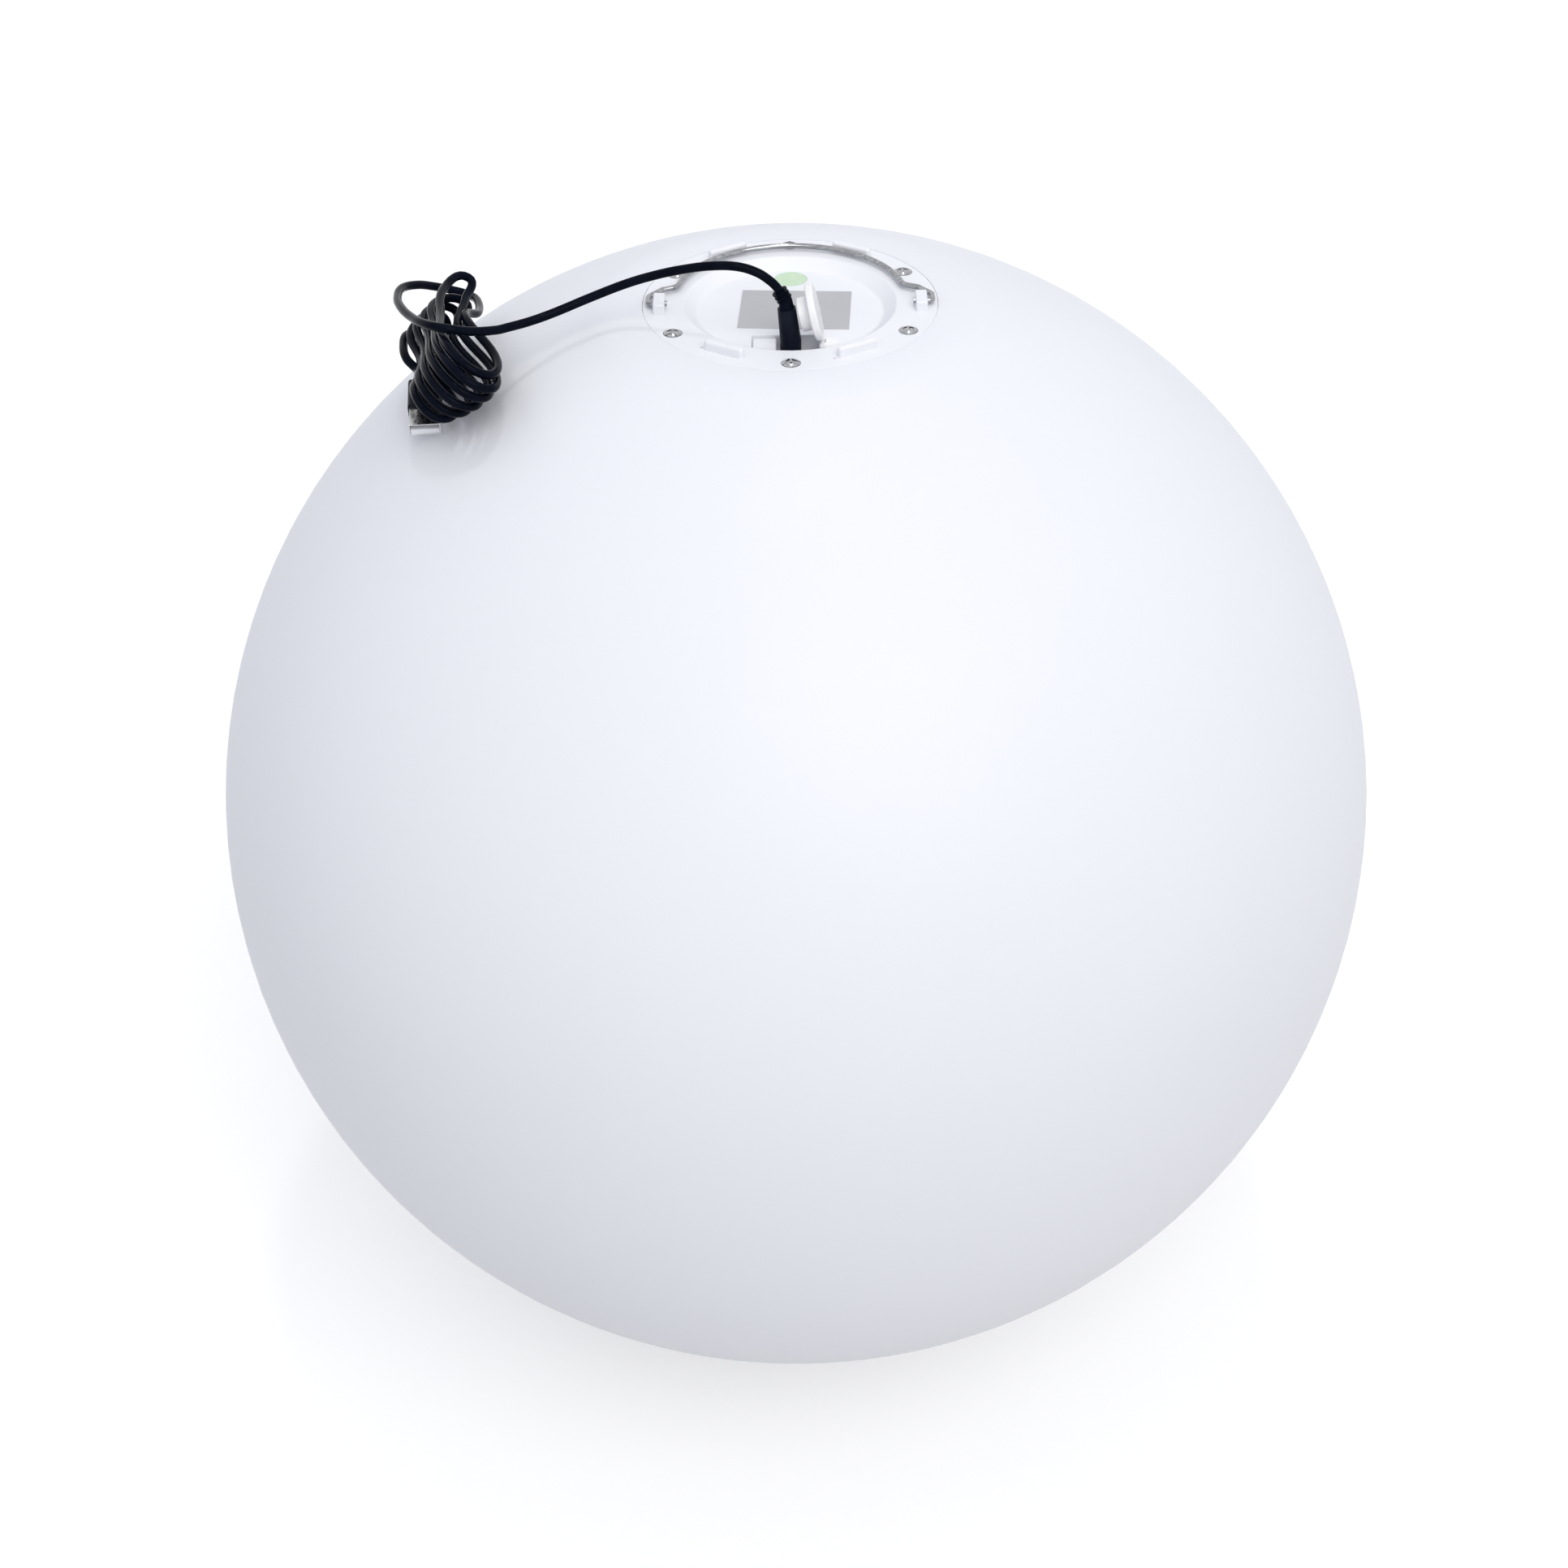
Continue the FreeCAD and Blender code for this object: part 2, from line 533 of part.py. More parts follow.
def plate_pocket(body):
    """The near pocket's box and the round socket well under it, then their cavities."""
    box = sketch_on(body, "pocket_box_sketch", "XY_Plane", "-dish_depth - dish_floor / 2")
    draw_rectangle(box, "-pocket_left - pocket_wall", "pocket_right + pocket_wall",
                   "-pocket_near - pocket_wall", "pocket_wall - pocket_far")
    pad(body, box, "pocket_box", "pocket_bottom - dish_depth - dish_floor / 2", down=True)
    boss = sketch_on(body, "well_boss_sketch", "XY_Plane", "-pocket_bottom")
    draw_circle(boss, 0, "socket_y", "well_radius + well_wall")
    pad(body, boss, "well_boss", "boss_bottom - pocket_bottom", down=True)
    room = sketch_on(body, "pocket_sketch", "XY_Plane")
    draw_rectangle(room, "-pocket_left", "pocket_right", "-pocket_near", "-pocket_far")
    pocket(body, room, "pocket_room", "pocket_depth")
    socket = [(0, "socket_y")]
    sink(body, "well", socket, "-pocket_depth", "well_radius", "well_depth")
    sink(body, "jack_hole", socket, "-well_bottom", "jack_radius + jack_gap", "well_floor")
    sink(body, "stem_hole", [("stem_x", "button_y")], "-pocket_depth", "stem_radius + stem_gap",
         "pocket_floor")


def plate_posts(body):
    """Posts under the dish for the control board and for the housing."""
    sets = [("board_posts", "board_post_circle", "board_post_count", "board_post_start",
             "board_post", "board_depth", "small_screw", "small_length"),
            ("housing_posts", "column_circle", "column_count", "column_start",
             "column_radius", "skirt_depth", "screw_radius", "screw_length")]
    for name, circle, count, start, radius, depth, hole, hole_depth in sets:
        sketch = sketch_on(body, name + "_sketch", "XY_Plane", "-dish_depth - dish_floor / 2")
        places = spots(circle, count, start)
        for x, y in places:
            draw_circle(sketch, x, y, radius)
        pad(body, sketch, name, f"{depth} - dish_depth - dish_floor / 2", down=True)
        sink(body, name + "_holes", places, f"{hole_depth} - {depth}", hole, hole_depth)


def plate_holes(body):
    """Sunk screw holes, the window's seat, the tether hole, the bail's bores and mould pips."""
    places = spots("screw_circle", "screw_count", "screw_start")
    sink(body, "head_seats", places, 0, "head_radius + head_gap", "head_sink")
    sink(body, "screw_holes", places, "-head_sink", "hole_radius", "flange_thickness - head_sink")
    sink(body, "lens_seat", [("lens_x", "lens_y")], "-dish_depth", "lens_radius + lens_gap",
         "lens_thickness")
    sink(body, "pipe_hole", [("lens_x", "lens_y")], "-dish_depth - lens_thickness",
         "pipe_radius + lens_gap", "dish_floor - lens_thickness")
    sink(body, "tether_hole", [("anchor_x", "anchor_y")], "-dish_depth",
         "anchor_stem + anchor_gap", "dish_floor")
    reach = "foot_length / 2 + pip_gap"
    pips = [turned("foot_circle", f"{side}({reach})", f"{sign}foot_angle * 1deg")
            for side, sign in (("", ""), ("", "180deg - "), ("-", "180deg + "), ("-", "-"))]
    sink(body, "pips", pips, 0, "pip_radius", "pip_depth")
    bores = sketch_on(body, "bore_sketch", "YZ_Plane")
    draw_circle(bores, "pivot_y", "pivot_height", "wire_radius + pin_gap")
    pocket(body, bores, "bail_bores", "2 * lug_outer + edge_round", both=True)


def base_plate():
    body = new_body("plate_body", 0, 0, "plate_z")
    plate_section(body)
    plate_feet(body)
    plate_pocket(body)
    plate_posts(body)
    plate_holes(body)
    keep(body, "base_plate")


# ---- bail ----

def corner_arc(before, corner, after, radius):
    """The ends and middle of the arc that rounds a corner, or the corner where it is straight."""
    to_a, to_b = (before - corner).normalize(), (after - corner).normalize()
    half = to_a.getAngle(to_b) / 2
    axis = (to_a + to_b).normalize()
    centre = corner + axis * (radius / math.sin(half))
    reach = radius / math.tan(half)
    return corner + to_a * reach, centre - axis * radius, corner + to_b * reach


def rounded_run(points, radii):
    """Straight edges with an arc at each inner point."""
    edges, start = [], points[0]
    for i, radius in enumerate(radii, start=1):
        first, middle, last = corner_arc(points[i - 1], points[i], points[i + 1], radius)
        edges.append(Part.LineSegment(start, first).toShape())
        edges.append(Part.Arc(first, middle, last).toShape())
        start = last
    edges.append(Part.LineSegment(start, points[-1]).toShape())
    return edges


def sweep(label, edges, radius):
    """A round tube along a wire of edges that meet smoothly."""
    path = doc.addObject("Part::Feature", label + "_path")
    path.Shape = Part.Wire(edges)
    section = doc.addObject("Part::Circle", label + "_section")
    section.setExpression("Radius", formula(radius))
    start = edges[0]
    heading = start.tangentAt(start.FirstParameter)
    section.Placement = Placement(start.valueAt(start.FirstParameter), Rotation(Vector(0, 0, 1), heading))
    tube = doc.addObject("Part::Sweep", label)
    tube.Sections = [section]
    tube.Spine = (path, [f"Edge{i + 1}" for i in range(len(edges))])
    tube.Solid = True
    tube.Transition = "Transformed"
    return tube


def bail_half():
    """Right half of the wire: pin, ear, shoulder and the kink where it meets the big arc."""
    height = value("plate_z + pivot_height")

    def spot(x, y):
        return Vector(value(x), value(y), height)

    ring, bend = value("bail_radius"), value("kink_bend")
    centre = spot(0, "bail_centre_y")
    rise = value("kink_y - bail_centre_y")
    kink = centre + Vector(math.sqrt(ring ** 2 - rise ** 2), rise, 0)
    bend_centre = centre + (kink - centre) * ((ring + bend) / ring)
    shoulder = spot("shoulder_x", "shoulder_y")
    to_shoulder = shoulder - bend_centre
    swing = math.degrees(math.acos(bend / to_shoulder.Length))
    aim = Rotation(Vector(0, 0, 1), -swing).multVec(to_shoulder.normalize())
    leave = bend_centre + aim * bend
    middle = bend_centre + ((leave + kink) / 2 - bend_centre).normalize() * bend
    pin_bend = value("bail_bend")
    edges = rounded_run([spot("bail_tip", "pivot_y"), spot("ear_x", "pivot_y"), spot("ear_x", "ear_y"),
                         shoulder, leave], [pin_bend, pin_bend, pin_bend])
    edges.append(Part.Arc(leave, middle, kink).toShape())
    return edges, kink, centre + Vector(0, ring, 0)


def bail_handle():
    """One bent wire whose ends turn in through the lugs."""
    right, kink, top = bail_half()
    mirrored = [edge.mirror(Vector(), Vector(1, 0, 0)) for edge in right]
    far_kink = Vector(-kink.x, kink.y, kink.z)
    arc = Part.Arc(kink, top, far_kink).toShape()
    edges = Part.sortEdges(right + [arc] + mirrored)[0]
    keep(sweep("bail", edges, "wire_radius"), "bail_handle")


# ---- label, window, button, cap ----

def rating_label():
    """Bare foil plate stuck to the dish floor."""
    body = new_body("label_body", "label_x", "label_y", "plate_z - dish_depth", Vector(0, 0, 1),
                    "label_turn")
    sketch = sketch_on(body, "label_sketch", "XY_Plane")
    draw_rectangle(sketch, "-label_width / 2", "label_width / 2", "-label_height / 2", "label_height / 2")
    pad(body, sketch, "label_sheet", "label_thickness")
    keep(body, "rating_label")


def indicator():
    """Round window with its light pipe, and the lamp that it covers."""
    window = rod("window", "lens_x", "lens_y", "plate_z - dish_depth - lens_thickness",
                 "lens_radius", "lens_thickness")
    pipe_low = "board_depth - lamp_height - lamp_gap"
    pipe = rod("light_pipe", "lens_x", "lens_y", f"plate_z - ({pipe_low})", "pipe_radius",
               f"{pipe_low} - dish_depth - lens_thickness / 2")
    keep(fuse("lens", window, pipe), "indicator_lens")
    keep(block("lamp", "lens_x", "lens_y", "plate_z - board_depth", "lamp_side", "lamp_side",
               "lamp_height"), "status_lamp")


def power_button():
    """Rounded key with a long stem, the rubber ring under it and the clip on its stem."""
    body = new_body("button_body", "button_x", "button_y", "plate_z - button_bottom")
    key = sketch_on(body, "key_sketch", "XY_Plane")
    draw_rectangle(key, "-button_width / 2", "button_width / 2", "-button_depth / 2", "button_depth / 2")
    solid = pad(body, key, "key", "button_height")
    low = value("button_height") / 2
    round_edges(body, "key_edges", solid, "button_round", lambda e: e.BoundBox.ZMax > low)
    stem = sketch_on(body, "stem_sketch", "XY_Plane")
    draw_circle(stem, "-stem_shift", 0, "stem_radius")
    pad(body, stem, "stem", "stem_length", down=True)
    keep(body, "power_button")
    boot_height = "pocket_depth - button_bottom - button_travel - boot_gap"
    keep(tube_ring("boot", "stem_x", "button_y", "plate_z - pocket_depth", "boot_radius",
                   "stem_radius + stem_gap", boot_height), "button_boot")
    keep(tube_ring("clip", "stem_x", "button_y", "plate_z - clip_depth - clip_thickness",
                   "clip_radius", "stem_radius", "clip_thickness"), "stem_clip")
    case = block("switch_case", "stem_x", "button_y", "plate_z - board_depth", "switch_side",
                 "switch_side", "switch_height")
    plunger = rod("plunger", "stem_x", "button_y", "plate_z - board_depth + switch_height / 2",
                  "plunger_radius", "plunger_height + switch_height / 2")
    keep(fuse("switch", case, plunger), "button_switch")


def socket_cap():
    """Flange and stopper, modelled upright above the hinge line and leant toward the plug."""
    body = new_body("cap_body", "hinge_x", "socket_y", "plate_z - hinge_depth", Vector(0, 1, 0),
                    "-cap_lean")
    flange = sketch_on(body, "flange_sketch", "YZ_Plane", "-cap_thickness / 2")
    draw_circle(flange, 0, "cap_reach", "cap_radius")
    disc = pad(body, flange, "flange", "cap_thickness")
    thick = value("cap_thickness")
    round_edges(body, "flange_edges", disc, "cap_round", lambda e: e.BoundBox.XLength < thick / 2)
    plug = sketch_on(body, "stopper_sketch", "YZ_Plane", "-cap_thickness / 2 - stopper_depth")
    draw_circle(plug, 0, "cap_reach", "stopper_radius")
    pad(body, plug, "stopper", "stopper_depth + cap_thickness / 2")
    tab = sketch_on(body, "tab_sketch", "XZ_Plane", "-knuckle_half")
    draw_rectangle(tab, "-knuckle_radius * 0.8", "knuckle_radius * 0.8", 0,
                   "cap_reach - cap_radius + cap_thickness / 2")
    pad(body, tab, "tab", "2 * knuckle_half")
    barrel = sketch_on(body, "barrel_sketch", "XZ_Plane", "-knuckle_half")
    draw_circle(barrel, 0, 0, "knuckle_radius")
    pad(body, barrel, "cap_barrel", "2 * knuckle_half")
    keep(body, "socket_cap")


def cap_tether():
    """Strap that lies on the dish floor, its two hinge barrels and the stem through the floor."""
    floor = "plate_z - dish_depth"
    start = "hinge_x + strap_gap"
    strap = block("strap", f"({start} + anchor_x) / 2", "socket_y", floor, f"anchor_x - ({start})",
                  "strap_width", "strap_thickness")
    head = rod("anchor_head", "anchor_x", "anchor_y", floor, "anchor_radius", "strap_thickness")
    stem = rod("anchor_stem", "anchor_x", "anchor_y", "plate_z - dish_bottom - barb_height",
               "anchor_stem", "dish_floor + barb_height + strap_thickness / 2")
    barb = rod("anchor_barb", "anchor_x", "anchor_y", "plate_z - dish_bottom - barb_height",
               "barb_radius", "barb_height")
    parts = [strap, head, stem, barb]
    width = "knuckle_outer - knuckle_half - knuckle_gap"
    for side in (-1, 1):
        middle = f"socket_y + {side} * (knuckle_half + knuckle_gap + ({width}) / 2)"
        ear = doc.addObject("Part::Cylinder", f"ear_{side + 1}")
        ear.setExpression("Radius", formula("knuckle_radius"))
        ear.setExpression("Height", formula(width))
        seat(ear, "hinge_x", f"{middle} + ({width}) / 2", "plate_z - hinge_depth", Vector(1, 0, 0), 90)
        link = block(f"ear_link_{side + 1}", "hinge_x + strap_gap / 2", middle,
                     "plate_z - hinge_depth - knuckle_radius * 0.8", "strap_gap + strap_bite", width,
                     "knuckle_radius * 1.2")
        parts += [ear, link]
    keep(fuse("tether", *parts), "cap_tether")


# ---- socket and control board ----

def charge_socket():
    """Barrel jack that fills the hole under the well, with its centre pin."""
    top = "plate_z - well_bottom"
    body = rod("jack_body", 0, "socket_y", "plate_z - board_depth", "jack_radius",
               "board_depth - well_bottom")
    flange = rod("jack_flange", 0, "socket_y", "plate_z - boss_bottom - jack_flange_thickness",
                 "jack_flange", "jack_flange_thickness")
    bore = rod("jack_bore", 0, "socket_y", f"{top} - jack_bore_depth", "jack_bore", "jack_bore_depth")
    keep(cut("jack", fuse("jack_blank", body, flange), bore), "charge_socket")
    keep(rod("pin", 0, "socket_y", f"{top} - jack_bore_depth", "jack_pin", "jack_pin_length"),
         "socket_pin")


def control_board():
    """Round board on three posts, with its chips, receiver and screws."""
    low = "plate_z - board_bottom"
    posts = spots("board_post_circle", "board_post_count", "board_post_start")
    disc = rod("board_disc", 0, 0, low, "board_radius", "board_thickness")
    holes = rods("board_hole", posts, low, "small_screw", "board_thickness")
    notches = rods("board_notch", spots("column_circle", "column_count", "column_start"), low,
                   "column_radius + hole_gap", "board_thickness")
    keep(cut("board", disc, *holes, *notches), "control_board")
    under = "plate_z - board_bottom - chip_height"
    chips = [("-12", "8", "10", "10"), ("6", "11", "6", "5"), ("14", "-3", "5", "6"),
             ("-14", "-9", "6", "4"), ("2", "-8", "9", "4")]
    group("control_chips", [block(f"chip_{i}", x, y, under, length, width, "chip_height")
                            for i, (x, y, length, width) in enumerate(chips)])
    keep(block("receiver", "receiver_x", "receiver_y", "plate_z - board_depth",
               "receiver_width", "receiver_depth",
               "receiver_height"), "remote_receiver")
    screws("board_screws", posts, low, "small_screw", "small_length", "small_head",
           "small_head_height", up=False)


# ---- housing and battery ----

def housing_seal():
    keep(tube_ring("seal", 0, 0, "plate_z - housing_top", "skirt_radius",
                   "skirt_radius - skirt_wall", "seal_thickness"), "housing_seal")


def module_housing():
    """Cup under the skirt: wall, deck, and four columns with screw holes."""
    body = new_body("housing_body", 0, 0, "plate_z")
    section = sketch_on(body, "housing_profile", "XZ_Plane")
    inner = "skirt_radius - skirt_wall"
    draw_outline(section, [
        (0, "-deck_top"), (inner, "-deck_top"), (inner, "-housing_top"),
        ("skirt_radius", "-housing_top"), ("skirt_radius", "-housing_depth"), (0, "-housing_depth")])
    revolve(body, section, "cup")
    columns = spots("column_circle", "column_count", "column_start")
    sketch = sketch_on(body, "column_sketch", "XY_Plane", "-housing_top")
    for x, y in columns:
        draw_circle(sketch, x, y, "column_radius")
    pad(body, sketch, "columns", "deck_top - housing_top + deck_thickness / 2", down=True)
    sink(body, "column_holes", columns, "-housing_top", "hole_radius", "housing_depth - housing_top")
    sink(body, "column_seats", columns, "long_head_height + edge_round - housing_depth",
         "long_head + hole_gap", "long_head_height + edge_round")
    sink(body, "wire_hole", [("led_wire_x", "led_wire_y")], "-deck_top", "wire_hole", "deck_thickness")
    sink(body, "dome_holes", spots("dome_screw_circle", "dome_screw_count", "dome_screw_start"),
         "dome_screw_length - dome_flange_thickness - housing_depth", "dome_screw_radius",
         "dome_screw_length - dome_flange_thickness")
    keep(body, "module_housing")
    screws("housing_screws", columns, "plate_z - housing_depth + long_head_height + edge_round",
           "screw_radius", "long_length", "long_head", "long_head_height", up=False)


def lying_cell(name, y, radius, length):
    """A cylinder along X, centred over the housing's axis at the cells' height."""
    cell = doc.addObject("Part::Cylinder", name)
    cell.setExpression("Radius", formula(radius))
    cell.setExpression("Height", formula(length))
    return seat(cell, f"-({length}) / 2", y, "plate_z - cell_depth", Vector(0, 1, 0), 90)


def battery():
    """Two cells side by side in a cradle, held down by a band."""
    rows = ["-cell_spacing / 2", "cell_spacing / 2"]
    group("battery_cells", [lying_cell(f"cell_{i}", y, "cell_radius", "cell_length")
                            for i, y in enumerate(rows)])
    low = "plate_z - deck_top"
    base = block("cradle_base", 0, 0, low, "cradle_length", "cradle_width", "cradle_height")
    beds = [lying_cell(f"bed_{i}", y, "cell_radius + cell_gap", "cell_length")
            for i, y in enumerate(rows)]
    keep(cut("cradle", base, *beds), "battery_cradle")
    top = "deck_top - cell_depth + cell_radius + band_gap"
    inner_width = "cradle_width + 2 * band_gap"
    outer = block("band_outer", 0, 0, low, "strap_band", f"{inner_width} + 2 * band_thickness",
                  f"{top} + band_thickness")
    inner = block("band_inner", 0, 0, low, "strap_band", inner_width, top)
    keep(cut("band", outer, inner), "battery_band")


# ---- light engine ----

def light_engine():
    """Aluminium spreader, board with its lamps, frosted dome and its screws."""
    wires = rod("spreader_wire_hole", "led_wire_x", "led_wire_y", "plate_z - led_board_bottom",
                "wire_hole", "led_board_bottom - housing_depth")
    disc = rod("spreader_disc", 0, 0, "plate_z - spreader_bottom", "spreader_radius",
               "spreader_thickness")
    keep(cut("spreader", disc, wires), "heat_spreader")
    board = rod("led_disc", 0, 0, "plate_z - led_board_bottom", "spreader_radius",
                "led_board_thickness")
    keep(cut("led_plate", board, wires), "led_board")
    places = (spots("led_outer_circle", "led_outer_count", 0)
              + spots("led_inner_circle", "led_inner_count", 0))
    group("led_chips", blocks_at("led", places, "plate_z - led_board_bottom - led_height",
                                 "led_side", "led_side", "led_height"))
    centre = "plate_z - housing_depth - dome_flange_thickness"
    outer = primitive("Sphere", "dome_outer", (0, 0, centre), Radius="dome_radius")
    inner = primitive("Sphere", "dome_hollow", (0, 0, centre), Radius="dome_radius - dome_wall")
    lid = block("above_dome", 0, 0, centre, "2 * dome_radius", "2 * dome_radius", "dome_radius")
    bowl = cut("bowl", outer, inner, lid)
    rim = tube_ring("dome_rim", 0, 0, centre, "dome_flange", "dome_inner", "dome_flange_thickness")
    screw_places = spots("dome_screw_circle", "dome_screw_count", "dome_screw_start")
    holes = rods("dome_hole", screw_places, centre, "dome_screw_radius", "dome_flange_thickness")
    keep(cut("dome", fuse("dome_blank", bowl, rim), *holes), "led_dome")
    screws("dome_screws", screw_places, centre, "dome_screw_radius", "dome_screw_length",
           "dome_head_radius", "dome_head_height", up=False)


def inner_wires():
    """Two pairs of insulated wires: battery to board, and board to lamps."""
    def point(x, y, depth):
        return Vector(value(x), value(y), value(f"plate_z - ({depth})"))

    pair = [f"{sign} * wire_pitch / 2" for sign in (-1, 1)]
    battery_pair, lamp_pair = [], []
    for i, shift in enumerate(pair):
        y = f"battery_wire_y + {shift}"
        far = "cell_length / 2 + battery_wire_reach"
        route = [point("cell_length / 2", y, "cell_depth"), point(far, y, "cell_depth"),
                 point(far, y, "wire_depth"), point("battery_wire_x", y, "wire_depth"),
                 point("battery_wire_x", y, "board_bottom")]
        bends = [value("wire_bend")] * 3
        battery_pair.append(sweep(f"battery_wire_{i}", rounded_run(route, bends), "wire_core"))
        y = f"led_wire_y + {shift}"
        drop = [point("led_wire_start", y, "board_bottom"),
                point("led_wire_start", y, "board_bottom + led_wire_drop"),
                point("led_wire_x", y, "deck_top - led_wire_rise"),
                point("led_wire_x", y, "led_board_bottom - wire_bite")]
        lamp_pair.append(sweep(f"led_wire_{i}", rounded_run(drop, bends[:2]), "wire_core"))
    group("battery_wires", battery_pair)
    group("led_wires", lamp_pair)


# ---- charging lead ----

def leaning(kind, name, place, lean, **sizes):
    """A primitive whose axis leans toward -X."""
    obj = primitive(kind, name, place, **sizes)
    return seat(obj, *place, Vector(0, 1, 0), f"-({lean})")


def barrel_plug():
    """Plug in the socket: a straight grip, a leaning taper, and the barrel below."""
    low = "plate_z - plug_bottom"
    knee = (0, "socket_y", f"{low} + plug_straight")
    straight = rod("grip", 0, "socket_y", low, "plug_radius", "plug_straight")
    ball = primitive("Sphere", "grip_knee", knee, Radius="plug_radius")
    taper = leaning("Cone", "grip_taper", knee, "plug_lean", Radius1="plug_radius",
                    Radius2="plug_neck", Height="plug_taper")
    keep(fuse("plug_grip", straight, ball, taper), "plug_body")
    keep(tube_ring("barrel", 0, "socket_y", f"{low} - barrel_length", "barrel_radius",
                   "barrel_bore", "barrel_length"), "plug_barrel")


def strain_relief():
    """Two leaning cones over the plug's top, with raised rings."""
    first = ("bend_x", "socket_y", "plate_z + bend_height")
    knee = ("knee_x", "socket_y", "plate_z + knee_height")
    lower = leaning("Cone", "relief_low", first, "plug_lean", Radius1="relief_base",
                    Radius2="relief_middle", Height="relief_knee")
    ball = primitive("Sphere", "relief_ball", knee, Radius="relief_middle")
    upper = leaning("Cone", "relief_high", knee, "relief_lean", Radius1="relief_middle",
                    Radius2="relief_tip", Height="relief_length")
    rings = []
    for i in range(SIZES["relief_rings"]):
        rise = f"relief_length * ({i} + 0.5) / relief_rings"
        place = (f"knee_x - sin(relief_lean * 1deg) * {rise}", "socket_y",
                 f"plate_z + knee_height + cos(relief_lean * 1deg) * {rise}")
        rings.append(leaning("Cylinder", f"relief_ring_{i}", place, "relief_lean",
                             Radius="relief_middle + relief_ring", Height="relief_ring"))
    keep(fuse("relief", lower, ball, upper, *rings), "plug_strain_relief")


def hank_frame():
    """Away from the globe, along the hank and across it, at the middle of the hank."""
    lean, bearing = math.radians(HANK_LEAN), math.radians(HANK_BEARING)
    out = Vector(math.sin(lean) * math.cos(bearing), math.sin(lean) * math.sin(bearing), math.cos(lean))
    along = HANK_RUN - out * HANK_RUN.dot(out)
    along.normalize()
    return out, along, out.cross(along)


def beside_hank(along, across, height):
    """The point at a place on the globe, measured round the globe from the hank's middle."""
    globe = value("globe_radius")
    out, run, side = hank_frame()
    first, second = along / globe, across / globe
    level = out * math.cos(second) + side * math.sin(second)
    return Vector(0, 0, globe) + (level * math.cos(first) + run * math.sin(first)) * (globe + height)


def loop_place(turn, part):
    """A place on a hank loop: part 0 to 0.5 is its near lobe, 0.5 to 1 its far lobe."""
    near, near_swell, near_shift, far, far_swell, far_shift, far_rise, half = LOOPS[turn]
    angle = math.pi / 2 - 2 * math.pi * part
    end, side = math.cos(angle), math.sin(angle)
    if end > 0:
        reach, swell, shift, rise = near, near_swell, near_shift, 0
    else:
        reach, swell, shift, rise = far, far_swell, far_shift, far_rise
    spread = (half + swell * end ** 2) * side
    climb = min(max((part - 0.25) / 0.5, 0), 1)
    climb = climb ** 2 * (3 - 2 * climb)
    stack = LOOP_STEP * (len(LOOPS) - 1 - turn - climb)
    tilt = math.radians(HANK_TILT)
    across = spread * math.cos(tilt) + stack * math.sin(tilt) + shift * end ** 2
    height = stack * math.cos(tilt) - spread * math.sin(tilt) + rise * end ** 2
    return WAIST["along"] + reach * end, WAIST["across"] + across, WAIST["height"] + height


def biarc(start, start_way, end, end_way):
    """Two arcs that join two points smoothly in given directions."""
    span, ways = end - start, start_way + end_way
    a = 2 * (1 - start_way.dot(end_way))
    b = 2 * span.dot(ways)
    c = -span.dot(span)
    reach = -c / b if abs(a) < 1e-9 else (-b + math.sqrt(b * b - 4 * a * c)) / (2 * a)
    first, last = start + start_way * reach, end - end_way * reach
    joint = (first + last) / 2
    return [arc_between(start, first, joint), arc_between(joint, last, end)]


def arc_between(start, corner, end):
    """The arc from start to end that is tangent to the lines through their shared corner."""
    chord = end - start
    weight = math.cos(chord.getAngle(corner - start))
    if weight > 0.999999:
        return Part.LineSegment(start, end).toShape()
    middle = ((start + end) / 2 + corner * weight) / (1 + weight)
    return Part.Arc(start, middle, end).toShape()


def smooth_edges(points, first_way, last_way):
    """Biarcs through points, each heading like the line between its neighbours."""
    ways = [first_way]
    ways += [(after - before).normalize() for before, after in zip(points, points[2:])]
    ways.append(last_way)
    edges = []
    for i in range(len(points) - 1):
        edges += biarc(points[i], ways[i], points[i + 1], ways[i + 1])
    return edges


def least_gap(edges, radius, apart):
    """The least clear space between a tube and itself, measured on points along it."""
    points, walked, lengths = [], 0, []
    for edge in edges:
        steps = max(2, int(edge.Length / 1.2))
        points += edge.discretize(steps + 1)[:-1]
        lengths += [walked + edge.Length * i / steps for i in range(steps)]
        walked += edge.Length
    least = min(points[i].distanceToPoint(points[j])
                for i in range(len(points)) for j in range(i + 1, len(points))
                if lengths[j] - lengths[i] > apart)
    return least - 2 * radius


def usb_place():
    """Where the USB plug lies: its back end, with Z toward its front and its flat side level."""
    back, front = beside_hank(*USB_BACK), beside_hank(*USB_FRONT)
    axis = (front - back).normalize()
    out = Vector(0, 0, 1) - axis * axis.z
    out.normalize()
    wide = out.cross(axis)
    return Placement(back, Rotation(wide, out, axis, "ZXY")), axis


